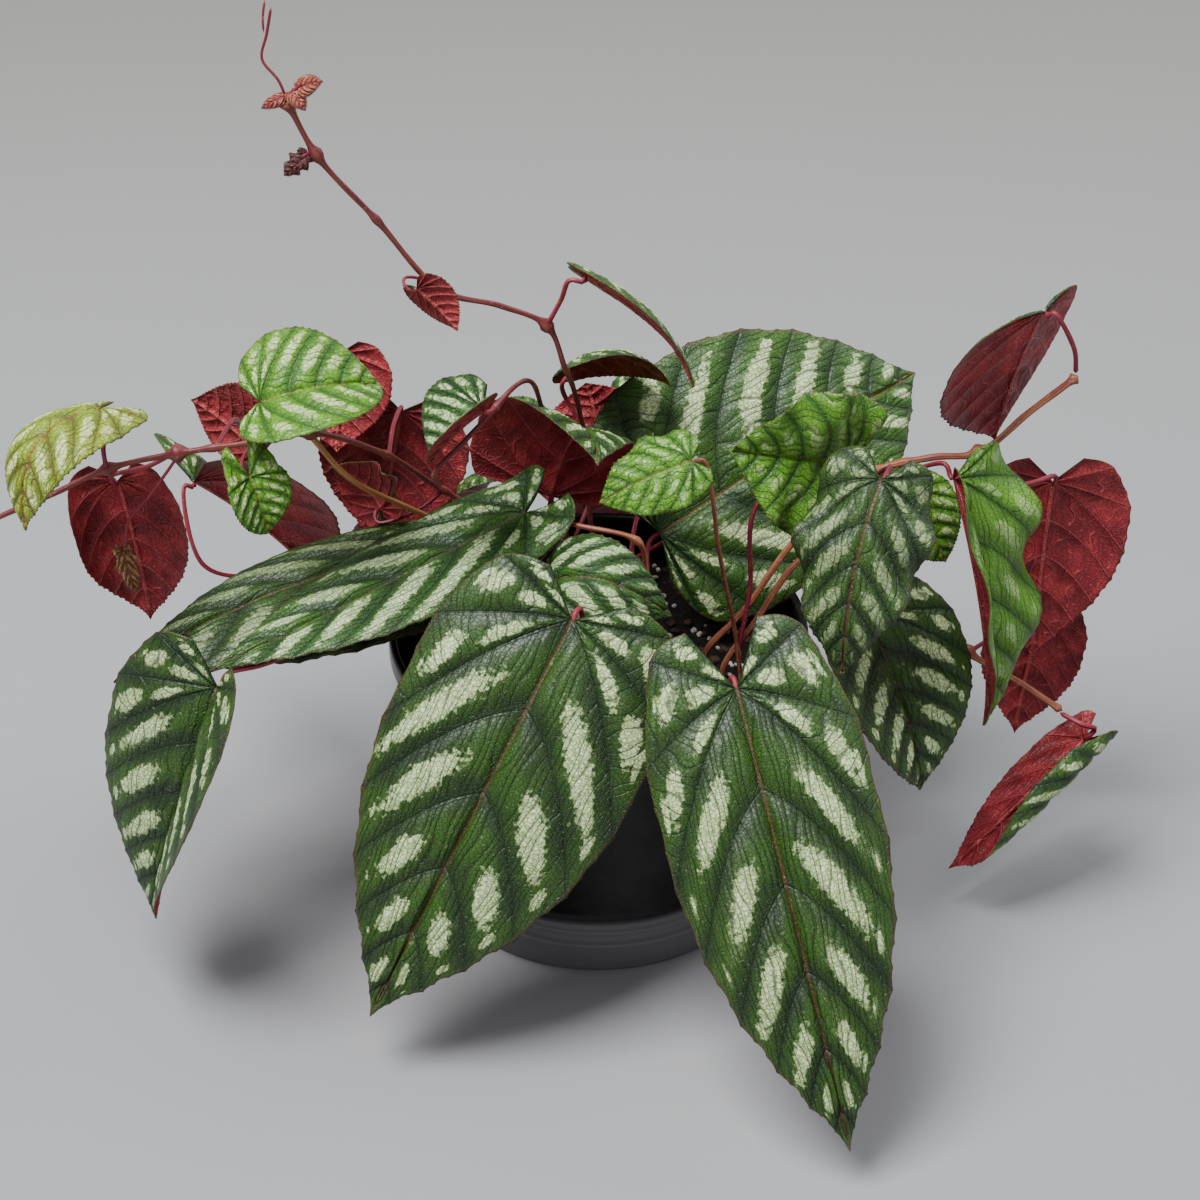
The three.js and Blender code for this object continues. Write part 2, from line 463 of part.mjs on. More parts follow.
function facing( [ turn, rise ] ) {

	const flat = Math.cos( radians( rise ) );
	const x = Math.sin( radians( turn ) ) * flat;
	const y = - Math.cos( radians( turn ) ) * flat;
	return new THREE.Vector3( x, y, Math.sin( radians( rise ) ) );

}

// A smooth curve through the margin points at whole rows
function marginAt( row ) {

	const last = marginPoints.length - 1;
	const i = Math.min( Math.floor( row ), last - 1 );
	const f = row - i;
	const at = ( k ) => marginPoints[ Math.min( Math.max( k, 0 ), last ) ];

	return [ 0, 1 ].map( ( n ) => {

		const [ a, b, c, d ] = [ at( i - 1 )[ n ], at( i )[ n ], at( i + 1 )[ n ], at( i + 2 )[ n ] ];
		const square = ( 2 * a - 5 * b + 4 * c - d ) * f * f;
		const cube = ( 3 * b - a - 3 * c + d ) * f ** 3;
		return 0.5 * ( 2 * b + ( c - a ) * f + square + cube );

	} );

}

// The place of a point on the flattened leaf: each row is a bowed vein from the midrib to the margin
function flattened( leaf, row, across, tooth = 0 ) {

	let [ along, out ] = marginAt( row );
	if ( along < 0 ) along *= leaf.lobe;
	const marginU = ( along + blade.toothLean * tooth ) * leaf.length;
	const marginV = out * leaf.width / 2 + tooth * leaf.length * Math.min( 1, blade.toothRoom * out );
	const late = Math.max( 0, ( row - blade.firstVeins ) / ( blade.rows - blade.firstVeins ) );
	const startU = leaf.length * ( 1 - ( 1 - late ) ** blade.veinCrowding );
	const back = Math.max( 0, 1 - row / blade.firstVeins );
	const bow = blade.bow + blade.bowBack * THREE.MathUtils.clamp( blade.firstVeins + 1 - row, 0, 1 );
	const bowU = startU + ( marginU - startU ) * bow;
	const bowV = 0.5 * marginV * ( 1 - blade.bowNarrow * back );
	const rest = 1 - across;
	return [
		rest * rest * startU + 2 * across * rest * bowU + across * across * marginU,
		2 * across * rest * bowV + across * across * marginV,
	];

}

const plainLeaf = {
	fold: [ 0, 0 ],
	curl: [ 0, 0 ],
	twist: 0,
	lobe: 1,
	lobeCurl: 0,
	wave: 0,
	sides: [ 1, 1 ],
	size: 'medium',
	colour: 'mature',
};

// Fill in what a leaf's row leaves out, and its midrib curve and frame
function prepare( row ) {

	const leaf = { ...plainLeaf, ...row };
	const base = new THREE.Vector3( ...leaf.base );
	const tip = new THREE.Vector3( ...leaf.tip );
	const chord = tip.clone().sub( base );
	const along = chord.clone().normalize();
	const up = facing( leaf.face );
	up.addScaledVector( along, - up.dot( along ) ).normalize();
	const third = chord.clone().divideScalar( 3 );
	const first = base.clone().add( third ).addScaledVector( up, leaf.arch[ 0 ] * 4 / 3 );
	const second = tip.clone().sub( third ).addScaledVector( up, leaf.arch[ 1 ] * 4 / 3 );
	leaf.midrib = new THREE.CubicBezierCurve3( base, first, second, tip );
	leaf.length = leaf.midrib.getLength();
	leaf.up = up;
	return leaf;

}

// The local frame of the midrib at a distance from the stalk
function frameAt( leaf, distance ) {

	const part = THREE.MathUtils.clamp( distance / leaf.length, 0, 1 );
	const point = leaf.midrib.getPointAt( part );
	const along = leaf.midrib.getTangentAt( part );
	const right = along.clone().cross( leaf.up ).normalize();
	const normal = right.clone().cross( along );
	const twist = radians( leaf.twist ) * part;
	const turned = right.clone().multiplyScalar( Math.cos( twist ) );
	turned.addScaledVector( normal, Math.sin( twist ) );
	return { point, along, right: turned, normal: turned.clone().cross( along ) };

}

// A point of the real leaf, and the way its surface faces there; side is -1 left, 1 right
function placed( leaf, u, v, side ) {

	const { point, along, right, normal } = frameAt( leaf, u );
	const half = side < 0 ? 0 : 1;

	if ( u < 0 ) {

		const bend = radians( leaf.lobeCurl ) / ( lobeDepth * leaf.length * leaf.lobe );
		const turn = - u * bend;
		point.addScaledVector( along, leaf.lobeCurl ? - Math.sin( turn ) / bend : u );
		point.addScaledVector( normal, leaf.lobeCurl ? ( 1 - Math.cos( turn ) ) / bend : 0 );

	}

	const width = v * leaf.sides[ half ];
	const fold = radians( leaf.fold[ half ] );
	const bend = radians( leaf.curl[ half ] ) / ( leaf.width / 2 );
	const angle = fold - bend * width;
	const out = bend ? ( Math.sin( fold ) - Math.sin( angle ) ) / bend : width * Math.cos( fold );
	const lift = bend ? ( Math.cos( angle ) - Math.cos( fold ) ) / bend : width * Math.sin( fold );
	const face = normal.clone().multiplyScalar( Math.cos( angle ) );
	face.addScaledVector( right, - side * Math.sin( angle ) );
	const phase = blade.waves * u / leaf.length + blade.waveShift * side;
	const ripple = leaf.wave * Math.sin( 2 * Math.PI * phase );
	point.addScaledVector( right, side * out ).addScaledVector( normal, lift );
	point.addScaledVector( face, ripple * ( width / ( leaf.width / 2 ) ) ** 2 );
	return { point, face };

}

const leafSizes = {
	large: { perVein: 2, columns: [ 0.36, 0.7, 1 ] },
	medium: { perVein: 1, columns: [ 0.36, 0.7, 1 ] },
	small: { perVein: 1, columns: [ 0.5, 1 ] },
};

// A blade: two halves that share the midrib, with alike triangles on both faces and a thin edge all round
function makeLeaf( leaf ) {

	const { perVein, columns } = leafSizes[ leaf.size ];
	const rows = blade.rows * perVein;
	const top = [];
	const bottom = [];
	const triangles = [];
	const keys = new Map();

	const vertex = ( row, column, side ) => {

		const vein = row / perVein;
		const atTip = row === rows;
		const onMidrib = column === 0 || atTip;
		const rowKey = onMidrib && vein <= blade.firstVeins ? 0 : row;
		const key = onMidrib ? `${ rowKey }` : `${ row },${ column },${ side }`;
		if ( keys.has( key ) ) return keys.get( key );
		const across = onMidrib ? 0 : columns[ column - 1 ];
		const toothed = across === 1 && vein >= 1 && vein < blade.rows - 1;
		const tooth = toothed ? blade.tooth * ( perVein > 1 && row % 2 ? - 1 : 1 ) : 0;
		const [ u, v ] = flattened( leaf, vein, across, tooth );
		const { point, face } = placed( leaf, atTip ? leaf.length : u, atTip ? 0 : v, side );
		if ( onMidrib ) face.add( placed( leaf, u, 0, - side ).face ).normalize();
		const half = blade.thickness / 2;
		top.push( point.clone().addScaledVector( face, half ) );
		bottom.push( point.clone().addScaledVector( face, - half ) );
		keys.set( key, top.length - 1 );
		return top.length - 1;

	};

	const triangle = ( a, b, c, side ) => {

		if ( a === b || b === c || c === a ) return;
		triangles.push( side > 0 ? [ a, b, c ] : [ a, c, b ] );

	};

	const edge = [];

	for ( const side of [ - 1, 1 ] ) {

		for ( let row = 0; row < rows; row ++ ) {

			for ( let column = 0; column < columns.length; column ++ ) {

				const a = vertex( row, column, side );
				const b = vertex( row, column + 1, side );
				const c = vertex( row + 1, column + 1, side );
				const d = vertex( row + 1, column, side );
				triangle( a, b, c, side );
				triangle( a, c, d, side );

			}

		}

		const line = columns.map( ( across, column ) => vertex( 0, column + 1, side ) );
		for ( let row = 1; row < rows; row ++ ) line.push( vertex( row, columns.length, side ) );
		edge.push( side < 0 ? line.reverse() : line );

	}

	const outline = [ vertex( 0, 0, 1 ), ...edge[ 1 ], vertex( rows, 0, 1 ), ...edge[ 0 ] ];
	const count = top.length;
	const index = [];
	for ( const [ a, b, c ] of triangles ) index.push( a, b, c, a + count, c + count, b + count );
	outline.forEach( ( a, i ) => {

		const b = outline[ ( i + 1 ) % outline.length ];
		index.push( a, a + count, b + count, a, b + count, b );

	} );

	const geometry = new THREE.BufferGeometry().setFromPoints( [ ...top, ...bottom ] );
	geometry.setIndex( index );
	return named( leaf.name, closed( geometry ), colours[ leaf.colour ], 0.45 );

}

// Stems

function smoothCurve( points ) {

	const places = points.map( ( place ) => new THREE.Vector3( ...place ) );
	return new THREE.CatmullRomCurve3( places, false, 'centripetal' );

}

function stepsFor( points ) {

	return Math.max( 2, Math.round( smoothCurve( points ).getLength() / stemForm.stepLength ) );

}

function tube( points, radius, steps = stepsFor( points ) ) {

	const circle = new THREE.Shape();
	for ( let i = 0; i < stemForm.sides; i ++ ) {

		const turn = i * 2 * Math.PI / stemForm.sides;
		const move = i ? 'lineTo' : 'moveTo';
		circle[ move ]( radius * Math.cos( turn ), radius * Math.sin( turn ) );

	}

	const extrudePath = smoothCurve( points );
	return toSolid( new THREE.ExtrudeGeometry( circle, { steps, bevelEnabled: false, extrudePath } ) );

}

function stalkEnd( leaf, radius ) {

	const { point, along, normal } = frameAt( leaf, 0 );
	const steepest = Math.max( 0, ...leaf.fold.map( ( fold ) => - fold ) );
	const tightest = Math.max( 0, ...leaf.curl ) / ( leaf.width / 2 );
	const drop = radius * Math.tan( radians( steepest ) ) + radians( tightest ) * radius * radius / 2;
	const clear = blade.thickness / 2 + blade.gap + drop;
	const end = point.clone().addScaledVector( normal, - clear );
	const bend = end.clone().addScaledVector( normal, - blade.stalkBend );
	const lead = bend.clone().addScaledVector( along, - blade.stalkLead );
	lead.addScaledVector( normal, - blade.stalkLead / 3 );
	return [ lead, bend, end ].map( ( place ) => place.toArray() );

}

function footOf( stem, depth ) {

	const [ x, y ] = stem.root;
	const straight = depth + stemForm.footStraight;
	return [ [ x, y, depth ], [ x, y, straight ], [ x, y, soil.crownHeight + stemForm.aboveSoil ] ];

}

function wholeRoute( part, byName, radius ) {

	if ( ! part.leaf ) return part.route;
	return [ ...part.route, ...stalkEnd( byName.get( part.leaf ), radius ) ];

}

function makeStem( stem, byName ) {

	const main = [ ...footOf( stem, soil.stemFoot ), ...wholeRoute( stem, byName, stem.radius ) ];
	let solid = tube( main, stem.radius );

	for ( const branch of stem.branches ?? [] ) {

		const radius = branch.radius ?? stemForm.branchRadius;
		solid = solid.add( tube( wholeRoute( branch, byName, radius ), radius ) );

	}

	for ( const joint of stem.joints ?? [] ) {

		const radius = stem.radius * stemForm.knot;
		const knot = new THREE.SphereGeometry( radius, stemForm.knotSides, stemForm.knotRings );
		knot.translate( ...joint );
		solid = solid.add( toSolid( knot ) );

	}

	return named( stem.name, fromSolid( solid ), colours[ stem.colour ], 0.5 );

}

// The whole plant

const group = new THREE.Group();
const prepared = leaves.map( prepare );
const byName = new Map( prepared.map( ( leaf ) => [ leaf.name, leaf ] ) );
const stemHoles = stems.map( ( stem ) => {

	const above = wholeRoute( stem, byName, stem.radius );
	const steps = stepsFor( [ ...footOf( stem, soil.stemFoot ), ...above ] );
	return tube( [ ...footOf( stem, soil.stemFoot - soil.gap ), ...above ], stem.radius + soil.gap, steps );

} );

group.add( makePot() );
group.add( makeSoil( stemHoles ) );
for ( const stem of stems ) group.add( makeStem( stem, byName ) );
for ( const leaf of prepared ) group.add( makeLeaf( leaf ) );

export default group;
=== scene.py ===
import math

import bpy
import numpy as np
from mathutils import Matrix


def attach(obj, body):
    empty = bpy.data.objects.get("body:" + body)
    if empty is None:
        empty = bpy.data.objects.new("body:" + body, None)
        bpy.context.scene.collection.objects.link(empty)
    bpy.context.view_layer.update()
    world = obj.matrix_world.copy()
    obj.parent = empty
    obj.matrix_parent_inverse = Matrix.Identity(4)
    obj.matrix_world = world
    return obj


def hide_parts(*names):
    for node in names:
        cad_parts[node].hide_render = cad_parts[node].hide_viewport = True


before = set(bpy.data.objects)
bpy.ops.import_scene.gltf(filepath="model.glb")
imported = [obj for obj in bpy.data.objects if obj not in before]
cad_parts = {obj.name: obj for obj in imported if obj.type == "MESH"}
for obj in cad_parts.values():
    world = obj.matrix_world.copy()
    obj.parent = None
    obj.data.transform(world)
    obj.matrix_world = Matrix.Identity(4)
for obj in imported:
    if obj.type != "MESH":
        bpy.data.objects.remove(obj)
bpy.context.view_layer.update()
mm = 0.001


def added(name, data):
    # A new object in the scene
    made = bpy.data.objects.new(name, data)
    bpy.context.scene.collection.objects.link(made)
    return made


# The camera comes first: the same distance, height and lens as the photograph's view
cameraSet = {
    "place": (0.5, -785.7, 658.5),  # mm
    "tilt": 55.8,  # degrees from straight down
    "lens": 77.2,
}

cameraData = bpy.data.cameras.new("camera")
cameraData.lens = cameraSet["lens"]
cameraData.sensor_width = 36
cameraData.clip_end = 50
camera = added("camera", cameraData)
camera.location = [value * mm for value in cameraSet["place"]]
camera.rotation_euler = (math.radians(cameraSet["tilt"]), 0, 0)
bpy.context.scene.camera = camera


class Wire:
    # A socket that can be used in a sum: each operator adds one Math node
    def __init__(self, paint, socket):
        self.paint = paint
        self.socket = socket

    def __add__(self, other):
        return self.paint.maths("ADD", self, other)

    def __radd__(self, other):
        return self.paint.maths("ADD", other, self)

    def __sub__(self, other):
        return self.paint.maths("SUBTRACT", self, other)

    def __rsub__(self, other):
        return self.paint.maths("SUBTRACT", other, self)

    def __mul__(self, other):
        return self.paint.maths("MULTIPLY", self, other)

    def __rmul__(self, other):
        return self.paint.maths("MULTIPLY", other, self)

    def __truediv__(self, other):
        return self.paint.maths("DIVIDE", self, other)

    def __pow__(self, other):
        return self.paint.maths("POWER", self, other)

    def __lt__(self, other):
        return self.paint.maths("LESS_THAN", self, other)

    def __gt__(self, other):
        return self.paint.maths("GREATER_THAN", self, other)


class Paint:
    # One material: a Principled shader, and short ways to add nodes in front of it
    def __init__(self, name, **constants):
        self.material = bpy.data.materials.new(name)
        self.material.use_nodes = True
        self.tree = self.material.node_tree
        self.tree.nodes.clear()
        self.shader = self.tree.nodes.new("ShaderNodeBsdfPrincipled")
        output = self.tree.nodes.new("ShaderNodeOutputMaterial")
        self.tree.links.new(self.shader.outputs[0], output.inputs["Surface"])
        for socket, value in constants.items():
            self.shader.inputs[socket.replace("_", " ")].default_value = value
        self.objectPlace = self.node("TexCoord", out="Object")

    def node(self, kind, settings=None, sockets=None, out=0):
        made = self.tree.nodes.new("ShaderNode" + kind)
        for key, value in (settings or {}).items():
            setattr(made, key, value)
        for key, value in (sockets or {}).items():
            self.feed(made.inputs[key], value)
        return Wire(self, made.outputs[out])

    def feed(self, socket, value):
        if isinstance(value, Wire):
            self.tree.links.new(value.socket, socket)
        elif socket.type == "RGBA":
            socket.default_value = (*value[:3], 1)
        else:
            socket.default_value = value

    def maths(self, operation, *values):
        return self.node("Math", {"operation": operation}, dict(enumerate(values)))

    def blend(self, amount, first, second):
        return self.node("Mix", {"data_type": "RGBA"}, {0: amount, 6: first, 7: second}, 2)

    def smooth(self, value, low, high):
        # 0 at low, 1 at high and an S curve between, also where low is above high
        settings = {"interpolation_type": "SMOOTHSTEP"}
        if low > high:
            return 1 - self.smooth(value, high, low)
        return self.node("MapRange", settings, {"Value": value, "From Min": low, "From Max": high})

    def noise(self, scale, detail=2, at=None):
        sockets = {"Vector": at or self.objectPlace, "Scale": scale, "Detail": detail}
        return self.node("TexNoise", None, sockets, 0)

    def chance(self, value):
        return self.node("TexWhiteNoise", {"noise_dimensions": "1D"}, {"W": value}, "Value")

    def net(self, scale, inner):
        # 1 on the edges of small cells, 0 inside them
        sockets = {"Vector": self.objectPlace, "Scale": scale}
        edges = self.node("TexVoronoi", {"feature": "DISTANCE_TO_EDGE"}, sockets, "Distance")
        return self.smooth(edges, inner, 0.02)

    def attribute(self, name):
        place = self.node("Attribute", {"attribute_name": name}, out="Vector")
        return [self.node("SeparateXYZ", None, {0: place}, axis) for axis in range(3)]

    def bump(self, height, depth, strength=1.0):
        sockets = {"Height": height, "Distance": depth * mm, "Strength": strength}
        self.feed(self.shader.inputs["Normal"], self.node("Bump", None, sockets))

    def finish(self, colour, roughness=None):
        self.feed(self.shader.inputs["Base Color"], colour)
        if roughness is not None:
            self.feed(self.shader.inputs["Roughness"], roughness)
        return self.material


def solidPiece(name, points, quads, materials, slots=None, corners=None, nodes=()):
    # Put a grid's points (mm) and quads in a mesh. A quad with a corner that is
    # repeated becomes a triangle, and points that no face uses are dropped.
    points = np.asarray(points, float)
    kept = quads != np.roll(quads, -1, axis=1)
    whole = kept.sum(axis=1) > 2
    quads = quads[whole]
    kept = kept[whole]
    used, flat = np.unique(quads[kept], return_inverse=True)
    counts = kept.sum(axis=1)
    starts = np.concatenate([[0], np.cumsum(counts)[:-1]])
    mesh = bpy.data.meshes.new(name)
    mesh.vertices.add(len(used))
    mesh.vertices.foreach_set("co", (points[used] * mm).ravel())
    mesh.loops.add(len(flat))
    mesh.loops.foreach_set("vertex_index", flat.ravel().astype(np.int32))
    mesh.polygons.add(len(counts))
    mesh.polygons.foreach_set("loop_start", starts.astype(np.int32))
    mesh.polygons.foreach_set("use_smooth", np.ones(len(counts), bool))
    for material in materials:
        mesh.materials.append(material)
    if slots is not None:
        mesh.polygons.foreach_set("material_index", np.asarray(slots)[whole].astype(np.int32))
    mesh.update(calc_edges=True)
    for key, values in (corners or {}).items():
        layer = mesh.attributes.new(key, "FLOAT_VECTOR", "CORNER")
        layer.data.foreach_set("vector", values[whole][kept].astype(np.float32).ravel())
    mesh.validate()
    piece = added(name, mesh)
    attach(piece, "root")
    if nodes:
        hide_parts(*nodes)
    return piece


def gridQuads(index):
    # The quads between neighbouring rows and columns of a grid of point numbers
    return np.stack([index[:-1, :-1], index[:-1, 1:], index[1:, 1:], index[1:, :-1]], -1).reshape(-1, 4)


def ringQuads(index):
    # The same for a grid whose last column joins its first
    return gridQuads(np.concatenate([index, index[:, :1]], 1))


def unit(vectors):
    return vectors / np.linalg.norm(vectors, axis=-1, keepdims=True)


# Leaves: each row says where the stalk joins, the tip, the way the upper face looks
# (turn from the front towards +X, then rise, in degrees), the width, how far the midrib
# arches, and the fold and curl of the left and right halves, all in mm and degrees
leafForm = {
    "thickness": 0.5,
    "marginThickness": 0.3,
    "margin": [(-0.14, 0.34), (-0.10, 0.70), (0.12, 0.98), (0.38, 0.98), (0.54, 0.87),
               (0.68, 0.68), (0.79, 0.46), (0.88, 0.25), (0.945, 0.085), (1.0, 0.0)],
    "lobeDepth": 0.14,
    "firstVeins": 3,
    "bands": 9,
    "veinCrowding": 1.35,
    "bow": 0.2,
    "bowBack": 0.1,
    "bowNarrow": 0.35,
    "curl": (20, 20),  # degrees: the halves of a leaf whose row says nothing else
    "waves": 2.6,
    "waveShift": 0.35,
    "toothLean": 0.4,
    "toothRoom": 4,
    "quilt": 0.078,  # how high a quilted band swells, as a part of its width
    "quiltSquare": 2.5,
    "widestQuilt": 22,  # mm: a wider band swells no more
    "seam": 0.12,  # the swelling starts this far out from the midrib
    "ladderGap": 4.0,
    "ladderLean": 0.6,
    "ladderSway": (0.30, 0.55, 2.1),  # in steps, in radians a mm, and from band to band
    "ladderTwist": (0.22, 8, 5, 0.3),
    "ladderSharp": 0.6,
    "ladderDepth": 0.6,
    "midribDepth": 0.5,
    "midribWidth": 1.3,
    "scallop": 0.003,
    "bristle": 0.5,
    "bristlesPerBand": 3,
    "ridge": 0.4,  # how far the veins stand out underneath
}
leafGrid = {  # rows in each band, and columns from midrib to margin
    "large": (15, 60),
    "medium": (9, 30),
    "small": (6, 18),
}


def leafRow(base, tip, face, width, arch, **more):
    return dict(base=base, tip=tip, face=face, width=width, arch=arch, **more)


leaves = {
    "front_left": leafRow((-9, -54, 153), (-81, -116, 25), (-5, 28), 92, (8, 6), fold=(12, 6),
        curl=(25, 28), lobe=0.6, lobeCurl=15, sides=(1.04, 0.97), size="large", upper="dark"),
    "front_right": leafRow((47, -78, 141), (85, -172, 16), (0, 36), 75, (6, 10), fold=(8, 14),
        curl=(10, 40), size="large", upper="dark"),
    "left_striped": leafRow((-27, 9, 157), (-136, -57, 133), (-10, 80), 48, (0, -2), fold=(4, 0),
        curl=(12, 12), lobe=0.95, lobeCurl=55, upper="striped"),
    "left_dark": leafRow((-59, 20, 136), (-174, -40, 116), (-10, 82), 68, (8, 12), sides=(1.1, 0.65),
        upper="dull"),
    "low_left": leafRow((-133, -60, 128), (-162, -74, 34), (-20, 12), 62, (4, 6), fold=(58, 5),
        curl=(10, 15), lobeCurl=20, twist=-18, sides=(1, 1.25), upper="dark"),
    "far_left": leafRow((-172, -16, 215), (-194, -52, 188), (-40, 50), 38, (15, 17), curl=(30, 40),
        lobe=1.6, colour="young", upper="lime"),
    "red_hanging": leafRow((-173, 4, 174), (-166, 0, 116), (170, 8), 50, (2, 2), curl=(100, 30),
        colour="maroon"),
    "red_left": leafRow((-153, 44, 149), (-107, 60, 89), (165, 10), 84, (4, 4), fold=(60, 0), lobe=0.8,
        colour="maroon"),
    "red_behind": leafRow((-135, 80, 141), (-160, 94, 156), (180, 10), 54, (2, 2), lobe=0.5,
        sides=(1, 0.5), colour="maroon"),
    "top_left": leafRow((-117, -10, 214), (-76, 6, 211), (-5, 48), 52, (8, 8), fold=(0, 45),
        colour="young", upper="young", under="pale"),
    "small_green": leafRow((-120, -30, 196), (-115, -34, 175), (30, 20), 26, (2, 2), fold=(0, 30),
        curl=(0, 0), lobe=4, size="small", colour="young", upper="young", under="pale"),
    "red_top": leafRow((-97, 62, 194), (-99, 50, 158), (180, 5), 42, (2, 2), curl=(30, 30),
        colour="maroon"),
    "red_middle": leafRow((-75, 64, 168), (-87, 62, 108), (175, 0), 58, (2, 2), colour="maroon"),
    "crumpled": leafRow((-82, 37, 141), (-100, 41, 157), (170, 30), 56, (4, 4), fold=(10, 10),
        curl=(50, 50), lobe=2, wave=3, sides=(0.75, 0.6), size="small", colour="maroon"),
    "round_striped": leafRow((-40, -10, 211), (-58, -16, 193), (-40, 35), 44, (2, 4), fold=(70, 0),
        curl=(10, 10), lobe=1.8, size="small", colour="young", upper="striped"),
    "folded_tip": leafRow((-18, 32, 150), (0, -14, 191), (170, 50), 72, (18, 18), fold=(0, 22),
        curl=(15, 15), lobe=0.1, sides=(0.66, 0.95)),
    "maroon_small": leafRow((-30, 62, 143), (-54, 42, 144), (190, 60), 30, (4, 4), curl=(30, 30),
        size="small", colour="maroon"),
    "crinkled": leafRow((32, -26, 200), (0, -28, 184), (-10, 45), 28, (3, 5), wave=2, size="small",
        colour="young", upper="crinkled", under="pale"),
    "big_back": leafRow((23, 26, 137), (123, 90, 170), (20, 46), 98, (8, 18), fold=(0, 4), curl=(0, 12),
        lobe=0.35, sides=(1.12, 0.95), size="large"),
    "behind_right": leafRow((14, 72, 152), (44, 84, 170), (-10, 50), 50, (4, 4), size="small"),
    "arching": leafRow((-4, 10, 253), (33, -10, 220), (115, 36), 50, (5, 6), fold=(5, 5),
        curl=(15, 15)),
    "orange_under": leafRow((-11, 47, 197), (27, 48, 188), (172, 50), 48, (8, 6), colour="maroon",
        under="orange"),
    "maroon_back": leafRow((0, 60, 157), (-5, 72, 176), (180, 20), 46, (4, 4), size="small",
        colour="maroon"),
    "green_back": leafRow((-26, 66, 153), (-46, 84, 157), (-10, 50), 30, (4, 4), lobe=0.5,
        size="small"),
    "right_bright": leafRow((85, 0, 184), (45, -14, 197), (0, 34), 58, (6, 6), fold=(0, 55),
        curl=(30, 40), wave=6, colour="young", upper="crinkled", under="pale"),
    "right_striped": leafRow((97, -30, 195), (85, -58, 131), (-30, 20), 46, (8, 8), fold=(-20, 10),
        wave=5, upper="dull"),
    "right_dark": leafRow((98, -12, 127), (118, -44, 70), (20, 20), 66, (4, 10), fold=(0, 45),
        curl=(10, 20), upper="dark"),
    "right_folded": leafRow((126, -8, 182), (146, -6, 71), (25, 15), 62, (6, 10), fold=(0, 75),
        curl=(25, 25), lobe=0.4, wave=6, sides=(1, 0.5), colour="young", upper="crinkled"),
    "right_small": leafRow((113, 10, 165), (128, 6, 137), (10, 20), 30, (3, 3), size="small",
        colour="young", upper="young"),
    "red_heart": leafRow((168, 26, 160), (166, 18, 86), (178, 4), 60, (2, 2), curl=(40, 5),
        colour="maroon"),
    "red_below": leafRow((172, 40, 92), (167, 40, 33), (170, 20), 40, (2, 2), colour="maroon"),
    "top_right": leafRow((157, 20, 234), (150, 56, 160), (-149, 25), 66, (2, 2), fold=(0, 20),
        curl=(10, 20), lobe=0.3, sides=(1.15, 0.6), colour="maroon"),
    "low_right": leafRow((184, -10, 68), (134, -30, 21), (150, -10), 42, (-4, -8), fold=(30, 0),
        curl=(10, 190), sides=(0.6, 1), colour="maroon"),
    "tiny_red": leafRow((-62, 0, 253), (-48, -4, 239), (170, 0), 20, (1, 1), fold=(40, 0),
        curl=(10, 10), size="small", colour="maroon"),
    "centre": leafRow((-24, -12, 137), (27, -26, 134), (0, 60), 38, (20, 20), curl=(10, 30),
        upper="striped"),
    "back_middle": leafRow((22, 92, 124), (8, 138, 24), (175, 30), 70, (6, 8), fold=(6, 6),
        upper="dark"),
    "back_right": leafRow((78, 80, 130), (104, 118, 34), (150, 25), 60, (6, 8), fold=(6, 6)),
    "back_left": leafRow((-62, 84, 120), (-96, 112, 60), (-150, 25), 50, (6, 8), fold=(6, 6),
        upper="dark"),
    "right_side": leafRow((96, 30, 112), (128, 44, 40), (60, 20), 50, (6, 8), fold=(6, 6)),
}


def marginAt(veins):
    # A Catmull-Rom curve through the margin's points, one for each vein
    points = np.array(leafForm["margin"])
    last = len(points) - 1
    low = np.minimum(veins.astype(int), last - 1)
    part = (veins - low)[..., None]
    a, b, c, d = [points[np.clip(low + step, 0, last)] for step in (-1, 0, 1, 2)]
    square = (2 * a - 5 * b + 4 * c - d) * part ** 2
    cube = (3 * b - a - 3 * c + d) * part ** 3
    return 0.5 * (2 * b + (c - a) * part + square + cube)


def flattened(leaf, vein, reach, tooth=0):
    # Each vein is a quadratic curve from the midrib (reach 0) to the margin (reach 1)
    edge = marginAt(vein)
    length = leaf["length"]
    lobe = leaf.get("lobe", 1)
    along = np.where(edge[..., 0] < 0, edge[..., 0] * lobe, edge[..., 0])
    marginU = (along + leafForm["toothLean"] * tooth) * length
    room = np.minimum(1, leafForm["toothRoom"] * edge[..., 1])
    marginV = edge[..., 1] * leaf["width"] / 2 + tooth * length * room
    first = leafForm["firstVeins"]
    late = np.clip((vein - first) / (leafForm["bands"] - first), 0, 1)
    startU = length * (1 - (1 - late) ** leafForm["veinCrowding"])
    back = np.clip(1 - vein / first, 0, 1)
    bow = leafForm["bow"] + leafForm["bowBack"] * np.clip(first + 1 - vein, 0, 1)
    bowU = startU + (marginU - startU) * bow
    bowV = 0.5 * marginV * (1 - leafForm["bowNarrow"] * back)
    rest = 1 - reach
    u = rest ** 2 * startU + 2 * reach * rest * bowU + reach ** 2 * marginU
    v = 2 * reach * rest * bowV + reach ** 2 * marginV
    return u, v


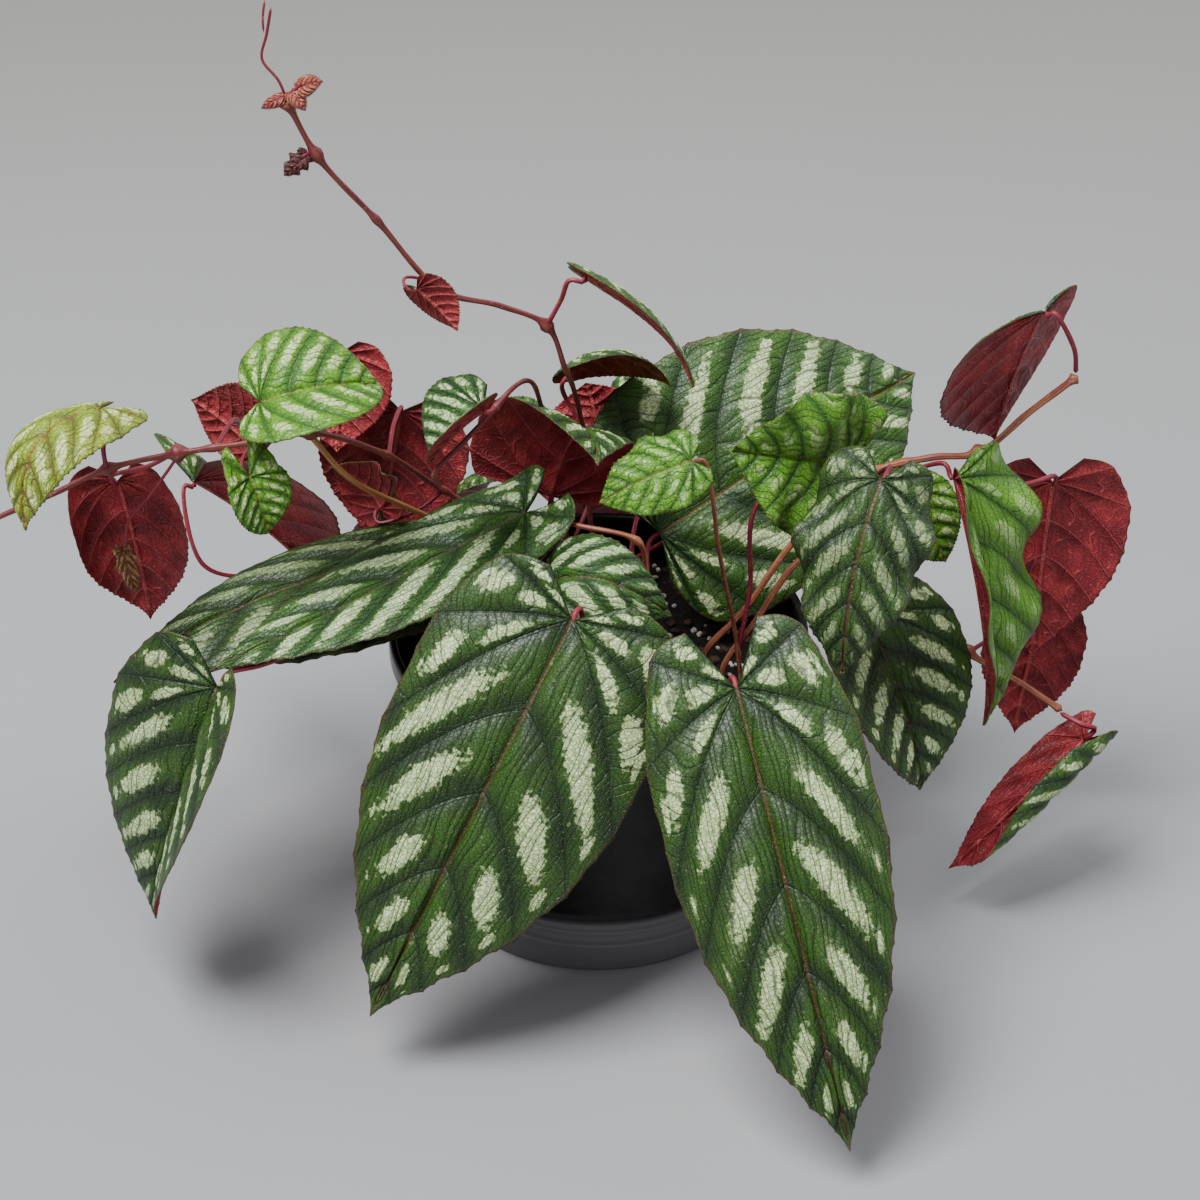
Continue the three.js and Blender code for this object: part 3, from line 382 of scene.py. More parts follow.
def prepareLeaf(leaf):
    # The midrib is a cubic curve from base to tip that arches to the upper side
    base, tip = np.array(leaf["base"], float), np.array(leaf["tip"], float)
    turn, rise = np.radians(leaf["face"])
    look = np.array([np.sin(turn) * np.cos(rise), -np.cos(turn) * np.cos(rise), np.sin(rise)])
    chord = unit(tip - base)
    up = unit(look - chord * (look @ chord))
    first = base + (tip - base) / 3 + up * leaf["arch"][0] * 4 / 3
    second = tip - (tip - base) / 3 + up * leaf["arch"][1] * 4 / 3
    leaf["controls"] = np.array([base, first, second, tip])
    leaf["up"] = up
    steps = np.linspace(0, 1, 201)
    line = bezier(leaf["controls"], steps)
    spans = np.linalg.norm(np.diff(line, axis=0), axis=1)
    leaf["steps"] = steps
    leaf["lengths"] = np.concatenate([[0], np.cumsum(spans)])
    leaf["length"] = leaf["lengths"][-1]


def bezier(controls, part):
    part = np.asarray(part)[..., None]
    rest = 1 - part
    a, b, c, d = controls
    return rest ** 3 * a + 3 * part * rest ** 2 * b + 3 * part ** 2 * rest * c + part ** 3 * d


def bezierWay(controls, part):
    part = np.asarray(part)[..., None]
    rest = 1 - part
    a, b, c, d = controls
    return unit(rest ** 2 * (b - a) + 2 * part * rest * (c - b) + part ** 2 * (d - c))


def placed(leaf, u, v, side):
    # Carry flat leaf places on to the bent blade: along the midrib's curve and twist, back
    # over the curled lobes, and out along an arc whose angle starts at the fold
    half = 0 if side < 0 else 1
    part = np.interp(np.clip(u, 0, leaf["length"]), leaf["lengths"], leaf["steps"])
    point = bezier(leaf["controls"], part)
    along = bezierWay(leaf["controls"], part)
    right = unit(np.cross(along, leaf["up"]))
    normal = np.cross(right, along)
    twist = np.radians(leaf.get("twist", 0)) * np.clip(u / leaf["length"], 0, 1)[..., None]
    right = right * np.cos(twist) + normal * np.sin(twist)
    normal = np.cross(right, along)
    behind = np.minimum(u, 0)[..., None]
    lobeCurl = leaf.get("lobeCurl", 0)
    if lobeCurl:
        lobeBend = np.radians(lobeCurl) / (leafForm["lobeDepth"] * leaf["length"] * leaf.get("lobe", 1))
        point = point - along * np.sin(-behind * lobeBend) / lobeBend
        point = point + normal * (1 - np.cos(behind * lobeBend)) / lobeBend
    else:
        point = point + along * behind
    width = (v * leaf.get("sides", (1, 1))[half])[..., None]
    fold = math.radians(leaf.get("fold", (0, 0))[half])
    bend = max(math.radians(leaf.get("curl", leafForm["curl"])[half]), 1e-4) / (leaf["width"] / 2)
    angle = fold - bend * width
    out = (math.sin(fold) - np.sin(angle)) / bend
    lift = (np.cos(angle) - math.cos(fold)) / bend
    face = normal * np.cos(angle) - right * side * np.sin(angle)
    phase = leafForm["waves"] * u / leaf["length"] + leafForm["waveShift"] * side
    ripple = leaf.get("wave", 0) * np.sin(2 * np.pi * phase)[..., None]
    point = point + right * side * out + normal * lift
    return point + face * ripple * (width / (leaf["width"] / 2)) ** 2, face


def makeLeaf(name, leaf, number, materials, nodes=()):
    perBand, columns = leafGrid[leaf.get("size", "medium")]
    bands = leafForm["bands"]
    rows = bands * perBand
    vein, reach = np.meshgrid(np.arange(rows + 1) / perBand, np.linspace(0, 1, columns + 1), indexing="ij")
    low = np.minimum(np.floor(vein), bands - 1)
    across = vein - low
    # The margin waves out at each vein and carries fine bristles
    room = np.clip(np.minimum(vein, bands - vein), 0, 1)
    tooth = leafForm["scallop"] * np.cos(2 * np.pi * vein) * room * reach ** 4
    beat = np.abs((vein * leafForm["bristlesPerBand"] + 0.5) % 1 - 0.5) * 2
    tooth += np.where(reach == 1, leafForm["bristle"] / leaf["length"] * (1 - beat) ** 3 * room, 0)
    u, v = flattened(leaf, vein, reach, tooth)
    u[-1] = leaf["length"]
    v[-1] = 0
    # The quilting: each band between two veins swells, and a ladder of small veins crosses it
    lowU, lowV = flattened(leaf, low, reach)
    highU, highV = flattened(leaf, low + 1, reach)
    band = np.hypot(highU - lowU, highV - lowV)
    run = np.concatenate([np.zeros((rows + 1, 1)), np.cumsum(np.hypot(np.diff(u), np.diff(v)), 1)], 1)
    pillow = 1 - np.abs(2 * across - 1) ** leafForm["quiltSquare"]
    inside = np.clip(reach / leafForm["seam"], 0, 1) * (1 - reach ** 6)
    sway, slow, shift = leafForm["ladderSway"]
    twist, over, change, fast = leafForm["ladderTwist"]
    steps = run / leafForm["ladderGap"] + leafForm["ladderLean"] * across
    steps += sway * np.sin(slow * run + shift * low + number)
    steps += twist * np.sin(over * across + change * low + fast * run)
    ladder = (0.5 - 0.5 * np.cos(2 * np.pi * steps)) ** leafForm["ladderSharp"]
    height = leafForm["quilt"] * np.minimum(band, leafForm["widestQuilt"]) * pillow * inside
    height += leafForm["ladderDepth"] * ladder * pillow * inside
    height -= leafForm["midribDepth"] * np.exp(-(v / leafForm["midribWidth"]) ** 2)
    toTip = (vein / bands) ** 8
    taper = np.maximum(reach ** 4, toTip)
    thick = leafForm["thickness"] * (1 - taper) + leafForm["marginThickness"] * taper
    ridge = leafForm["ridge"] * (1 - pillow) * inside * (1 - toTip)
    halves = [placed(leaf, u, v, side) for side in (-1, 1)]
    middle = unit(halves[0][1][:, :1] + halves[1][1][:, :1])
    upper, under = [], []
    for point, face in halves:
        face = face.copy()
        face[:, :1] = middle
        upper.append(point + face * (height + thick / 2)[..., None])
        under.append(point + face * (height - thick / 2 - ridge)[..., None])
    points = np.concatenate([np.array(upper).reshape(-1, 3), np.array(under).reshape(-1, 3)])
    index = np.arange(2 * (rows + 1) * (columns + 1)).reshape(2, rows + 1, columns + 1)
    index[1, :, 0] = index[0, :, 0]
    index[:, :leafForm["firstVeins"] * perBand + 1, 0] = index[0, 0, 0]
    index[:, rows, :] = index[0, rows, 0]
    own = np.arange(index.size).reshape(index.shape)
    count = index.size
    quads, owners, slots = [], [], []
    for half in (0, 1):
        turn = slice(None, None, -1 if half == 0 else 1)
        top = gridQuads(index[half])[:, turn]
        topOwn = gridQuads(own[half])[:, turn]
        quads += [top, top[:, ::-1] + count]
        owners += [topOwn, topOwn[:, ::-1]]
        slots += [np.zeros(len(top)), np.ones(len(top))]
        line = np.concatenate([index[half, 0], index[half, 1:, -1]])
        lineOwn = np.concatenate([own[half, 0], own[half, 1:, -1]])
        rim = np.stack([line[:-1], line[:-1] + count, line[1:] + count, line[1:]], -1)
        rimOwn = np.stack([lineOwn[:-1], lineOwn[:-1], lineOwn[1:], lineOwn[1:]], -1)
        quads.append(rim[:, turn])
        owners.append(rimOwn[:, turn])
        slots.append(np.zeros(len(rim)))
    seeds = np.stack([np.full(u.shape, number * 0.618 % 1 * 10 + 0.31 * side) for side in (0, 1)])
    place = np.stack([np.stack([vein, vein]), np.stack([reach, reach]), seeds], -1).reshape(-1, 3)
    size = np.stack([np.stack([steps, steps]), np.stack([band, band]), np.stack([v, v])], -1).reshape(-1, 3)
    owners = np.concatenate(owners)
    corners = {"leafPlace": place[owners], "leafSize": size[owners]}
    solidPiece(name + "_blade", points, np.concatenate(quads), materials,
               np.concatenate(slots), corners, nodes)


# Leaf finishes: green, silver and vein colours of the upper face (linear), how much silver
# there is and how far it spreads between the veins, and the colours underneath. On the upper
# face green carries a painted highlight on the crowns of the quilted bands and deep the painted
# shade in the valleys; the vein colour is partly painted shade along the sunken veins
upperLooks = {
    "dark": dict(deep=(0.006, 0.024, 0.0015), green=(0.028, 0.086, 0.003), silver=(0.74, 0.88, 0.5),
        pale=(0.34, 0.48, 0.17), vein=(0.005, 0.02, 0.003), midrib=(0.12, 0.045, 0.025), across=0.25,
        along=0.27, centre=0.58, amount=0.95),
    "dull": dict(deep=(0.012, 0.036, 0.004), green=(0.036, 0.095, 0.009), silver=(0.36, 0.46, 0.24),
        pale=(0.2, 0.28, 0.1), vein=(0.006, 0.02, 0.004), midrib=(0.12, 0.045, 0.025), across=0.25,
        along=0.34, centre=0.56, amount=0.85),
    "striped": dict(deep=(0.012, 0.052, 0.006), green=(0.045, 0.14, 0.01), silver=(0.7, 0.86, 0.5),
        pale=(0.36, 0.52, 0.2), vein=(0.008, 0.036, 0.006), midrib=(0.1, 0.07, 0.03), across=0.27,
        along=0.48, centre=0.52, amount=0.92),
    "bright": dict(deep=(0.008, 0.036, 0.002), green=(0.042, 0.13, 0.005), silver=(0.76, 0.88, 0.52),
        pale=(0.38, 0.52, 0.2), vein=(0.007, 0.03, 0.003), midrib=(0.18, 0.09, 0.035), across=0.2,
        along=0.38, centre=0.56, amount=0.95),
    "young": dict(deep=(0.036, 0.13, 0.003), green=(0.13, 0.335, 0.008), silver=(0.68, 0.82, 0.42),
        pale=(0.46, 0.64, 0.2), vein=(0.03, 0.11, 0.006), midrib=(0.2, 0.2, 0.04), across=0.24,
        along=0.27, centre=0.6, amount=0.85),
    "crinkled": dict(deep=(0.04, 0.14, 0.006), green=(0.13, 0.34, 0.014), silver=(0.52, 0.7, 0.32),
        pale=(0.36, 0.56, 0.16), vein=(0.022, 0.085, 0.005), midrib=(0.18, 0.2, 0.04), across=0.19,
        along=0.18, centre=0.52, amount=0.65),
    "lime": dict(deep=(0.11, 0.18, 0.006), green=(0.27, 0.39, 0.02), silver=(0.78, 0.84, 0.42),
        pale=(0.56, 0.66, 0.2), vein=(0.12, 0.08, 0.01), midrib=(0.22, 0.04, 0.02), across=0.28,
        along=0.27, centre=0.62, amount=0.92),
    "bud": dict(deep=(0.3, 0.06, 0.05), green=(0.42, 0.17, 0.07), silver=(0.6, 0.42, 0.2),
        pale=(0.5, 0.3, 0.14), vein=(0.26, 0.03, 0.04), midrib=(0.34, 0.05, 0.06), across=0.26, along=0.3,
        centre=0.6, amount=0.6),
    "dried": dict(deep=(0.26, 0.11, 0.04), green=(0.44, 0.23, 0.09), silver=(0.6, 0.42, 0.2),
        pale=(0.5, 0.32, 0.14), vein=(0.16, 0.04, 0.02), midrib=(0.25, 0.09, 0.04), across=0.26,
        along=0.3, centre=0.6, amount=0.3),
    "wilted": dict(deep=(0.07, 0.01, 0.014), green=(0.12, 0.025, 0.022), silver=(0.2, 0.1, 0.08),
        pale=(0.16, 0.07, 0.05), vein=(0.05, 0.008, 0.01), midrib=(0.14, 0.03, 0.03), across=0.26,
        along=0.3, centre=0.6, amount=0.3),
}
underLooks = {
    "maroon": dict(deep=(0.18, 0.011, 0.018), red=(0.42, 0.034, 0.044), vein=(0.52, 0.085, 0.09)),
    "orange": dict(deep=(0.12, 0.022, 0.006), red=(0.23, 0.05, 0.012), vein=(0.36, 0.1, 0.04)),
    "pale": dict(deep=(0.2, 0.06, 0.05), red=(0.26, 0.19, 0.09), vein=(0.36, 0.2, 0.12)),
}


def leafPattern(paint, wobble):
    # What both faces share: the veins' numbers, how far across its band and out from the
    # midrib a place is, how near the midrib and the next vein, and the ladder of small veins
    vein, reach, seed = paint.attribute("leafPlace")
    steps, band, mid = paint.attribute("leafSize")
    low = paint.maths("MINIMUM", paint.maths("FLOOR", vein), leafForm["bands"] - 1)
    across = vein - low
    fromVein = paint.maths("MINIMUM", across, 1 - across) * band
    step = paint.maths("FRACT", steps + wobble)
    rung = paint.smooth(paint.maths("ABSOLUTE", step - 0.5), 0.38, 0.48)
    return vein, low, across, reach, seed, mid, fromVein, rung


# The silver, along each vein from 0 at the midrib to 1 at the margin
silverForm = {
    "stray": (0.10, 0.14),  # how far chance moves a patch across and along its band
    "stretch": (0.72, 0.5),  # the shortest patch, and what chance adds to it
    "inner": (0.42, 0.15),  # middle and half length of the two patches in a band of the lobes
    "outer": (0.78, 0.10),
    "innerStray": 0.08,
    "spot": (0.91, 0.035),  # the small spots by the margin
    "ragged": 1.45,
    "edge": (1.1, 0.78),
    "midribGap": (2.2, 4.0),  # mm
}


def upperPaint(name, look):
    paint = Paint(name, Specular_IOR_Level=0.5, Coat_Weight=0.05, Coat_Roughness=0.3)
    ragged = paint.noise(520, 3) + 0.4 * paint.noise(150, 1) - 0.7
    vein, low, across, reach, seed, mid, fromVein, rung = leafPattern(paint, 0.25 * ragged)
    key = low * 3.7 + seed * 11.3
    shift, stretch, drift, sparse = [paint.chance(key + 1.9 * step) for step in range(4)]
    # Silver: a ragged patch in each band, two in each band of the lobes, and small spots by the margin
    strayAcross, strayAlong = silverForm["stray"]
    shortest, longer = silverForm["stretch"]
    innerAt, innerHalf = silverForm["inner"]
    outerAt, outerHalf = silverForm["outer"]
    spotAt, spotHalf = silverForm["spot"]
    sideways = (across - 0.5 - strayAcross * (drift - 0.5)) / look["across"]
    spread = look["along"] * (shortest + longer * stretch)
    main = (reach - look["centre"] - strayAlong * (shift - 0.5)) / spread
    inner = (reach - innerAt - silverForm["innerStray"] * (shift - 0.5)) / innerHalf
    outer = (reach - outerAt) / outerHalf
    mainWay = (sideways ** 2 + main * main) ** 0.5
    lobeWay = (sideways * sideways + paint.maths("MINIMUM", inner * inner, outer * outer)) ** 0.5
    spotWay = ((sideways * 1.5) ** 2 + ((reach - spotAt) / spotHalf) ** 2) ** 0.5 + 0.5 * (sparse > 0.6)
    lobed = vein < leafForm["firstVeins"] - 0.001
    way = mainWay + (lobeWay - mainWay) * lobed
    way = paint.maths("MINIMUM", way, spotWay) + silverForm["ragged"] * ragged
    silver = paint.smooth(way, *silverForm["edge"]) * paint.smooth(mid, *silverForm["midribGap"])
    silver = silver * look["amount"]
    grain = paint.noise(1500, 2)
    silverColour = paint.blend(paint.smooth(grain + 0.5 * ragged, 0.35, 0.65), look["pale"], look["silver"])
    # Green: a painted highlight on the crown of each quilted band and painted shade in the valleys between,
    # mixed with random darker patches; deeper by the midrib
    crown = 1 - paint.maths("ABSOLUTE", 2 * across - 1)
    light = paint.smooth(crown * 0.45 + 0.8 * paint.noise(60, 3), 0.30, 0.80)
    green = paint.blend(light, look["deep"], look["green"])
    colour = paint.blend(silver, green, silverColour)
    # Vein colour along the veins, the ladder of small veins and the fine net: partly their own darker
    # colour, partly painted shade in the sunken valleys
    colour = paint.blend(0.65 * paint.smooth(fromVein, 0.9, 0.2), colour, look["vein"])
    net = paint.net(620, 0.10)
    colour = paint.blend(paint.maths("MAXIMUM", rung * 0.72, net * 0.35), colour, look["vein"])
    colour = paint.blend(0.6 * paint.smooth(mid, 0.9, 0.4) * (reach < 0.97), colour, look["midrib"])
    margin = paint.smooth(reach, 0.972, 0.995)
    colour = paint.blend(0.5 * margin, colour, (0.10, 0.05, 0.02))
    specks = paint.smooth(paint.noise(330, 1), 0.74, 0.78)
    colour = paint.blend(0.35 * specks, colour, (0.30, 0.26, 0.12))
    height = grain * 0.15 - 0.6 * rung - 0.55 * net - 0.5 * paint.smooth(fromVein, 0.8, 0.1) + 0.25 * silver
    paint.bump(height, 0.42, 1.0)
    return paint.finish(colour, 0.39 + 0.14 * grain + 0.08 * silver)


def underPaint(name, look):
    paint = Paint(name, Specular_IOR_Level=0.4)
    *_, mid, fromVein, rung = leafPattern(paint, 0.2 * paint.noise(300, 1))
    patches = paint.noise(90, 3)
    colour = paint.blend(paint.smooth(patches, 0.35, 0.68), look["deep"], look["red"])
    net = paint.maths("MAXIMUM", paint.net(560, 0.12) * 0.6, rung)
    strong = paint.maths("MAXIMUM", paint.smooth(fromVein, 0.7, 0.2), paint.smooth(mid, 1.3, 0.6))
    colour = paint.blend(0.35 * net, colour, look["vein"])
    colour = paint.blend(0.7 * strong, colour, look["vein"])
    paint.bump(0.8 * net + strong + 0.1 * patches, 0.8, 1.0)
    return paint.finish(colour, 0.42 + 0.12 * patches)


uppers = {key: upperPaint("leafUpper_" + key, look) for key, look in upperLooks.items()}
unders = {key: underPaint("leafUnder_" + key, look) for key, look in underLooks.items()}
for number, (name, leaf) in enumerate(leaves.items()):
    prepareLeaf(leaf)
    materials = [uppers[leaf.get("upper", "bright")], unders[leaf.get("under", "maroon")]]
    makeLeaf("leaf_" + name, leaf, number, materials, ["leaf_" + name])
print("leaves", len(leaves))

# Tiny leaves that only the dressed plant has: the opening bud, a wilted leaf and a dried one
tinyLeaves = {
    "bud_leaf_open": leafRow((-98, -1, 326), (-89, -4, 330), (0, 40), 7, (1, 1), curl=(30, 30),
        upper="bud"),
    "bud_leaf_low": leafRow((-100, -1, 325), (-95, -5, 320), (20, 30), 6, (1, 1), curl=(40, 40),
        upper="bud"),
    "bud_leaf_left": leafRow((-102, 0, 323), (-110, -3, 320), (-20, 30), 5, (1, 1), curl=(60, 60),
        upper="bud"),
    "wilted_leaf": leafRow((-96, -2, 303), (-104, -5, 297), (0, 20), 8, (2, 2), curl=(90, 60), wave=1,
        upper="wilted"),
    "dried_leaf": leafRow((-170, -16, 157), (-166, -19, 140), (10, 10), 7, (1, 2), curl=(30, 30),
        wave=1, upper="dried"),
}
for number, (name, leaf) in enumerate(tinyLeaves.items()):
    leaf.update(size="small", colour="maroon")
    prepareLeaf(leaf)
    makeLeaf(name, leaf, number, [uppers[leaf["upper"]]] * 2)
print("tiny leaves", len(tinyLeaves))


# Stems: the same routes as the solid ones, in mm
stemForm = {
    "step": 1.6,
    "sides": 14,
    "footDepth": 84,
    "footStraight": 9,
    "aboveSoil": 3,
    "soilCrown": 101,
    "stalkLead": 4.5,  # how far from the end a stalk bends up to its blade
    "stalkRise": 1.5,
    "stalkBend": 2.3,
    "stalkEnd": 0.2,  # how far below the middle of the blade it ends
    "branchRadius": 1.1,
    "slim": 0.66,  # the solid stems are a little thicker than the real ones
    "slimBranch": 0.82,
    "swell": 0.65,  # how much a joint stands out, as a part of the radius
    "swellLength": 2.6,
    "flare": 0.3,
    "flareLength": 3,
    "uneven": 0.05,
    "endRound": 1.2,  # how long the round of an end is, as a multiple of the radius
}


def branchRow(*route, **more):
    # A stalk or a side shoot, from its place on the stem outwards
    return dict(route=list(route), **more)


stems = {
    "top": dict(root=(0, 38), radius=1.5, colour="vine", route=[(-4, 44, 140), (-6, 46, 170),
        (-9, 34, 194), (-12, 18, 212), (-18, 16, 230), (-34, 12, 240), (-54, 8, 248), (-75, 4, 277),
        (-93, 0, 302), (-102, 0, 322)], joints=[(-18, 16, 230), (-54, 8, 248), (-75, 4, 277),
        (-93, 0, 302), (-102, 0, 322)],
        branches=[
            branchRow((-17.9, 15.5, 230.8), (-13, 13, 242), leaf="arching"),
            branchRow((-4.8, 45.8, 169.6), (-13, 49, 184), leaf="orange_under"),
            branchRow((-54.1, 8.7, 248.5), (-60, 5, 254), (-66, 0, 257), leaf="tiny_red", radius=0.7),
            branchRow((-101.3, 0.5, 319.9), (-104, 1, 328), (-109, 2, 335), (-107, 3, 343),
                (-105, 4, 352), radius=0.6),
            branchRow((-107.9, 3.1, 343.5), (-108, 4, 348), (-107, 5, 354), radius=0.5),
            branchRow((-103.5, 0.1, 320.6), (-98, -1, 326), (-94, -2, 330), radius=0.9),
            branchRow((-93.7, 0.9, 303), (-97, -2, 303), (-101, -3, 300), radius=0.9),
        ]),
    "left": dict(root=(-24, 24), radius=1.6, colour="vine", route=[(-36, 36, 130), (-48, 38, 141),
        (-62, 34, 154), (-78, 16, 178), (-102, 0, 196), (-119, -4, 195), (-149, -6, 191),
        (-173, -6, 185), (-195, -8, 175), (-214, -10, 167), (-224, -12, 162)], joints=[(-102, 0, 196),
        (-119, -4, 195), (-149, -6, 191), (-173, -6, 185)],
        branches=[
            branchRow((-148.6, -5.4, 191.8), (-160, -3, 184), leaf="red_hanging"),
            branchRow((-147.9, -7.4, 191.2), (-160, -10, 175), (-167, -14, 168), (-169, -15, 158),
                (-172, -15, 146), radius=0.7),
            branchRow((-119, -3.6, 194.8), (-120, -5, 201), leaf="top_left"),
            branchRow((-118.5, -5.1, 195), (-122, -14, 198), leaf="small_green", radius=0.8),
            branchRow((-135.5, -5, 192), (-133, 30, 184), leaf="red_behind"),
            branchRow((-102.4, -0.3, 195.5), (-100, 25, 206), leaf="red_top"),
            branchRow((-76.3, 16.7, 176.2), (-76, 40, 176), leaf="red_middle"),
            branchRow((-57.4, 36.2, 150.4), (-68, 33, 143), leaf="crumpled", radius=0.9),
            branchRow((-174.2, -6.2, 184.1), (-173, -12, 198), leaf="far_left"),
            branchRow((-25.6, 23.2, 109.6), (-38, 26, 132), (-56, 26, 141), (-73, 21, 153),
                (-90, 7, 173), (-102, 0, 195), radius=1.3, paint="amber"),
        ]),
    "right": dict(root=(40, -4), radius=1.9, colour="vine", paint="woody", route=[(54, 0, 120),
        (72, 10, 144), (99, 18, 168), (121, 18, 175), (138, 18, 177), (155, 18, 194), (171, 18, 209)],
        joints=[(99, 18, 168), (138, 18, 177), (171, 18, 209)],
        branches=[
            branchRow((170.3, 19, 209.3), (168, 16, 221), leaf="top_right"),
            branchRow((138, 18.1, 177.8), (151, 10, 169), leaf="red_heart"),
            branchRow((100.3, 18.6, 168.1), (109, 12, 172), leaf="right_folded"),
            branchRow((111.4, 17, 172.1), (111, 17, 168), leaf="right_small", radius=0.8),
            branchRow((95.8, 15.8, 164.6), (103, 2, 180), leaf="right_striped"),
        ]),
    "low_right": dict(root=(46, -14), radius=1.8, colour="vine", paint="woody", route=[(58, -9, 122),
        (73, -2, 143), (90, 4, 148), (108, 10, 136), (126, 13, 112), (140, 12, 93), (161, 6, 82),
        (175, -6, 78)], joints=[(90, 4, 148), (140, 12, 93)],
        branches=[
            branchRow((174.2, -5.3, 76.7), (182, -12, 76), leaf="low_right", radius=1.2),
            branchRow((87.8, 2.9, 148), (92, -8, 138), leaf="right_dark"),
            branchRow((140, 11.6, 92.3), (158, 22, 98), leaf="red_below"),
            branchRow((118.9, 11.8, 123.9), (122, 5, 128), radius=0.9),
            branchRow((90.7, 4, 148.1), (90, 18, 128), leaf="right_side"),
        ]),
    "centre": dict(root=(-10, 26), radius=1.4, colour="vine", route=[(-12, 36, 125), (-14, 44, 150),
        (-20, 40, 178), (-24, 22, 204), (-30, 2, 213), (-38, -8, 208), (-47, -17, 202), (-57, -23, 193),
        (-55, -19, 186)], joints=[(-55, -19, 186)],
        branches=[
            branchRow((-35.8, -5.2, 209.7), leaf="round_striped", radius=1.1),
            branchRow((-11.2, 31.6, 116.6), leaf="folded_tip"),
            branchRow((-13.6, 39.9, 137.8), leaf="maroon_small"),
            branchRow((-14, 42.3, 140.5), leaf="maroon_back"),
            branchRow((-15.2, 43.5, 156.8), leaf="green_back"),
            branchRow((-10.9, 36.4, 123.7), (1, 61, 138), leaf="behind_right"),
        ]),
    "front": dict(root=(4, -26), radius=1.6, colour="stalk", leaf="front_left", route=[(3, -30, 116),
        (-3, -38, 132)],
        branches=[
            branchRow((4, -28, 110), (30, -50, 124), (44, -66, 132), leaf="front_right", radius=1.4),
            branchRow((4, -28, 110), (-12, -30, 126), leaf="centre"),
        ]),
    "low_left": dict(root=(-30, -6), radius=1.4, colour="stalk", leaf="low_left",
        route=[(-36, -12, 120), (-62, -26, 139), (-95, -40, 135), (-118, -50, 131)],
        branches=[
            branchRow((-31, -8.1, 112.1), (-44, 8, 124), leaf="left_dark"),
        ]),
    "striped": dict(root=(18, 0), radius=1.5, colour="stalk", paint="woody", leaf="left_striped",
        route=[(17, -2, 138), (14, -4, 153), (-7, 0, 157)], joints=[(14, -4, 153)],
        branches=[
            branchRow((18.7, 0.3, 116.6), leaf="big_back"),
        ]),
    "back": dict(root=(12, 44), radius=1.5, colour="stalk", leaf="back_middle", route=[(14, 60, 118),
        (20, 80, 124)],
        branches=[
            branchRow((12, 48, 110), (44, 62, 122), leaf="back_right"),
            branchRow((12, 48, 110), (-20, 54, 118), leaf="back_left"),
        ]),
    "red_left": dict(root=(-38, 26), radius=1.3, colour="stalk", leaf="red_left", route=[(-52, 30, 118),
        (-96, 36, 118), (-132, 34, 112), (-150, 28, 122)]),
    "crinkled": dict(root=(52, -18), radius=1.2, colour="vine", paint="woody", leaf="crinkled",
        route=[(50, -16, 120), (43, -20, 158)],
        branches=[
            branchRow((51, -16, 112), (55, -9, 134), (57, -8, 172), leaf="right_bright"),
        ]),
}


def smoothRoute(points):
    # A centripetal Catmull-Rom curve, then places an even step apart along it
    points = np.array(points, float)
    whole = np.concatenate([[2 * points[0] - points[1]], points, [2 * points[-1] - points[-2]]])
    part = np.linspace(0, 1, 40, endpoint=False)[:, None]
    line = []
    for a, b, c, d in zip(whole[:-3], whole[1:-2], whole[2:-1], whole[3:]):
        gaps = [max(np.linalg.norm(q - p), 1e-6) for p, q in ((a, b), (b, c), (c, d))]
        before, between, after = [gap ** 0.5 for gap in gaps]
        start = ((b - a) / before - (c - a) / (before + between) + (c - b) / between) * between
        end = ((c - b) / between - (d - b) / (between + after) + (d - c) / after) * between
        square = -3 * b + 3 * c - 2 * start - end
        cube = 2 * b - 2 * c + start + end
        line.append(b + start * part + square * part ** 2 + cube * part ** 3)
    line = np.concatenate(line + [points[-1:]])
    lengths = np.concatenate([[0], np.cumsum(np.linalg.norm(np.diff(line, axis=0), axis=1))])
    count = max(4, int(round(lengths[-1] / stemForm["step"])))
    even = np.linspace(0, lengths[-1], count + 1)
    return np.stack([np.interp(even, lengths, line[:, axis]) for axis in range(3)], -1), even


def roundTube(route, radius, joints=(), flare=0.0, tint=0.0):
    # A circle carried along a route: its radius swells at joints and flares at the end,
    # and both ends close in a half round
    line, even = smoothRoute(route)
    way = unit(np.gradient(line, axis=0))
    aside = np.linalg.svd(way)[2][-1]  # the direction that the route keeps away from most
    right = unit(np.cross(way, aside))
    up = np.cross(right, way)
    size = np.full(len(even), float(radius))
    for joint in joints:
        gap = np.linalg.norm(line - np.array(joint), axis=1)
        size *= 1 + stemForm["swell"] * np.exp(-(gap / stemForm["swellLength"]) ** 2)
    size *= 1 + flare * np.exp(-((even[-1] - even) / stemForm["flareLength"]) ** 2)
    size *= 1 + stemForm["uneven"] * np.sin(even * 0.35 + radius * 9)
    ends = np.clip(np.minimum(even, even[-1] - even) / (stemForm["endRound"] * radius), 0, 1)
    size *= np.sqrt(np.clip(1 - (1 - ends) ** 2, 0, 1))
    sides = stemForm["sides"]
    turn = np.arange(sides) * 2 * np.pi / sides
    circle = np.cos(turn)[None, :, None] * right[:, None] + np.sin(turn)[None, :, None] * up[:, None]
    points = (line[:, None] + circle * size[:, None, None]).reshape(-1, 3)
    index = np.arange(len(even) * sides).reshape(-1, sides)
    index[0] = index[0, 0]
    index[-1] = index[-1, 0]
    quads = ringQuads(index)
    place = np.stack(np.broadcast_arrays(even[:, None], turn[None], tint), -1).reshape(-1, 3)
    return points, quads, place[quads]


def stalkEnd(leaf):
    # A stalk comes in from behind the blade and meets it square, at its base
    controls = leaf["controls"]
    along = bezierWay(controls, 0.0)
    right = unit(np.cross(along, leaf["up"]))
    normal = np.cross(right, along)
    end = controls[0] - normal * stemForm["stalkEnd"]
    bend = end - normal * stemForm["stalkBend"]
    lead = bend - along * stemForm["stalkLead"] - normal * stemForm["stalkRise"]
    return [tuple(place) for place in (lead, bend, end)]


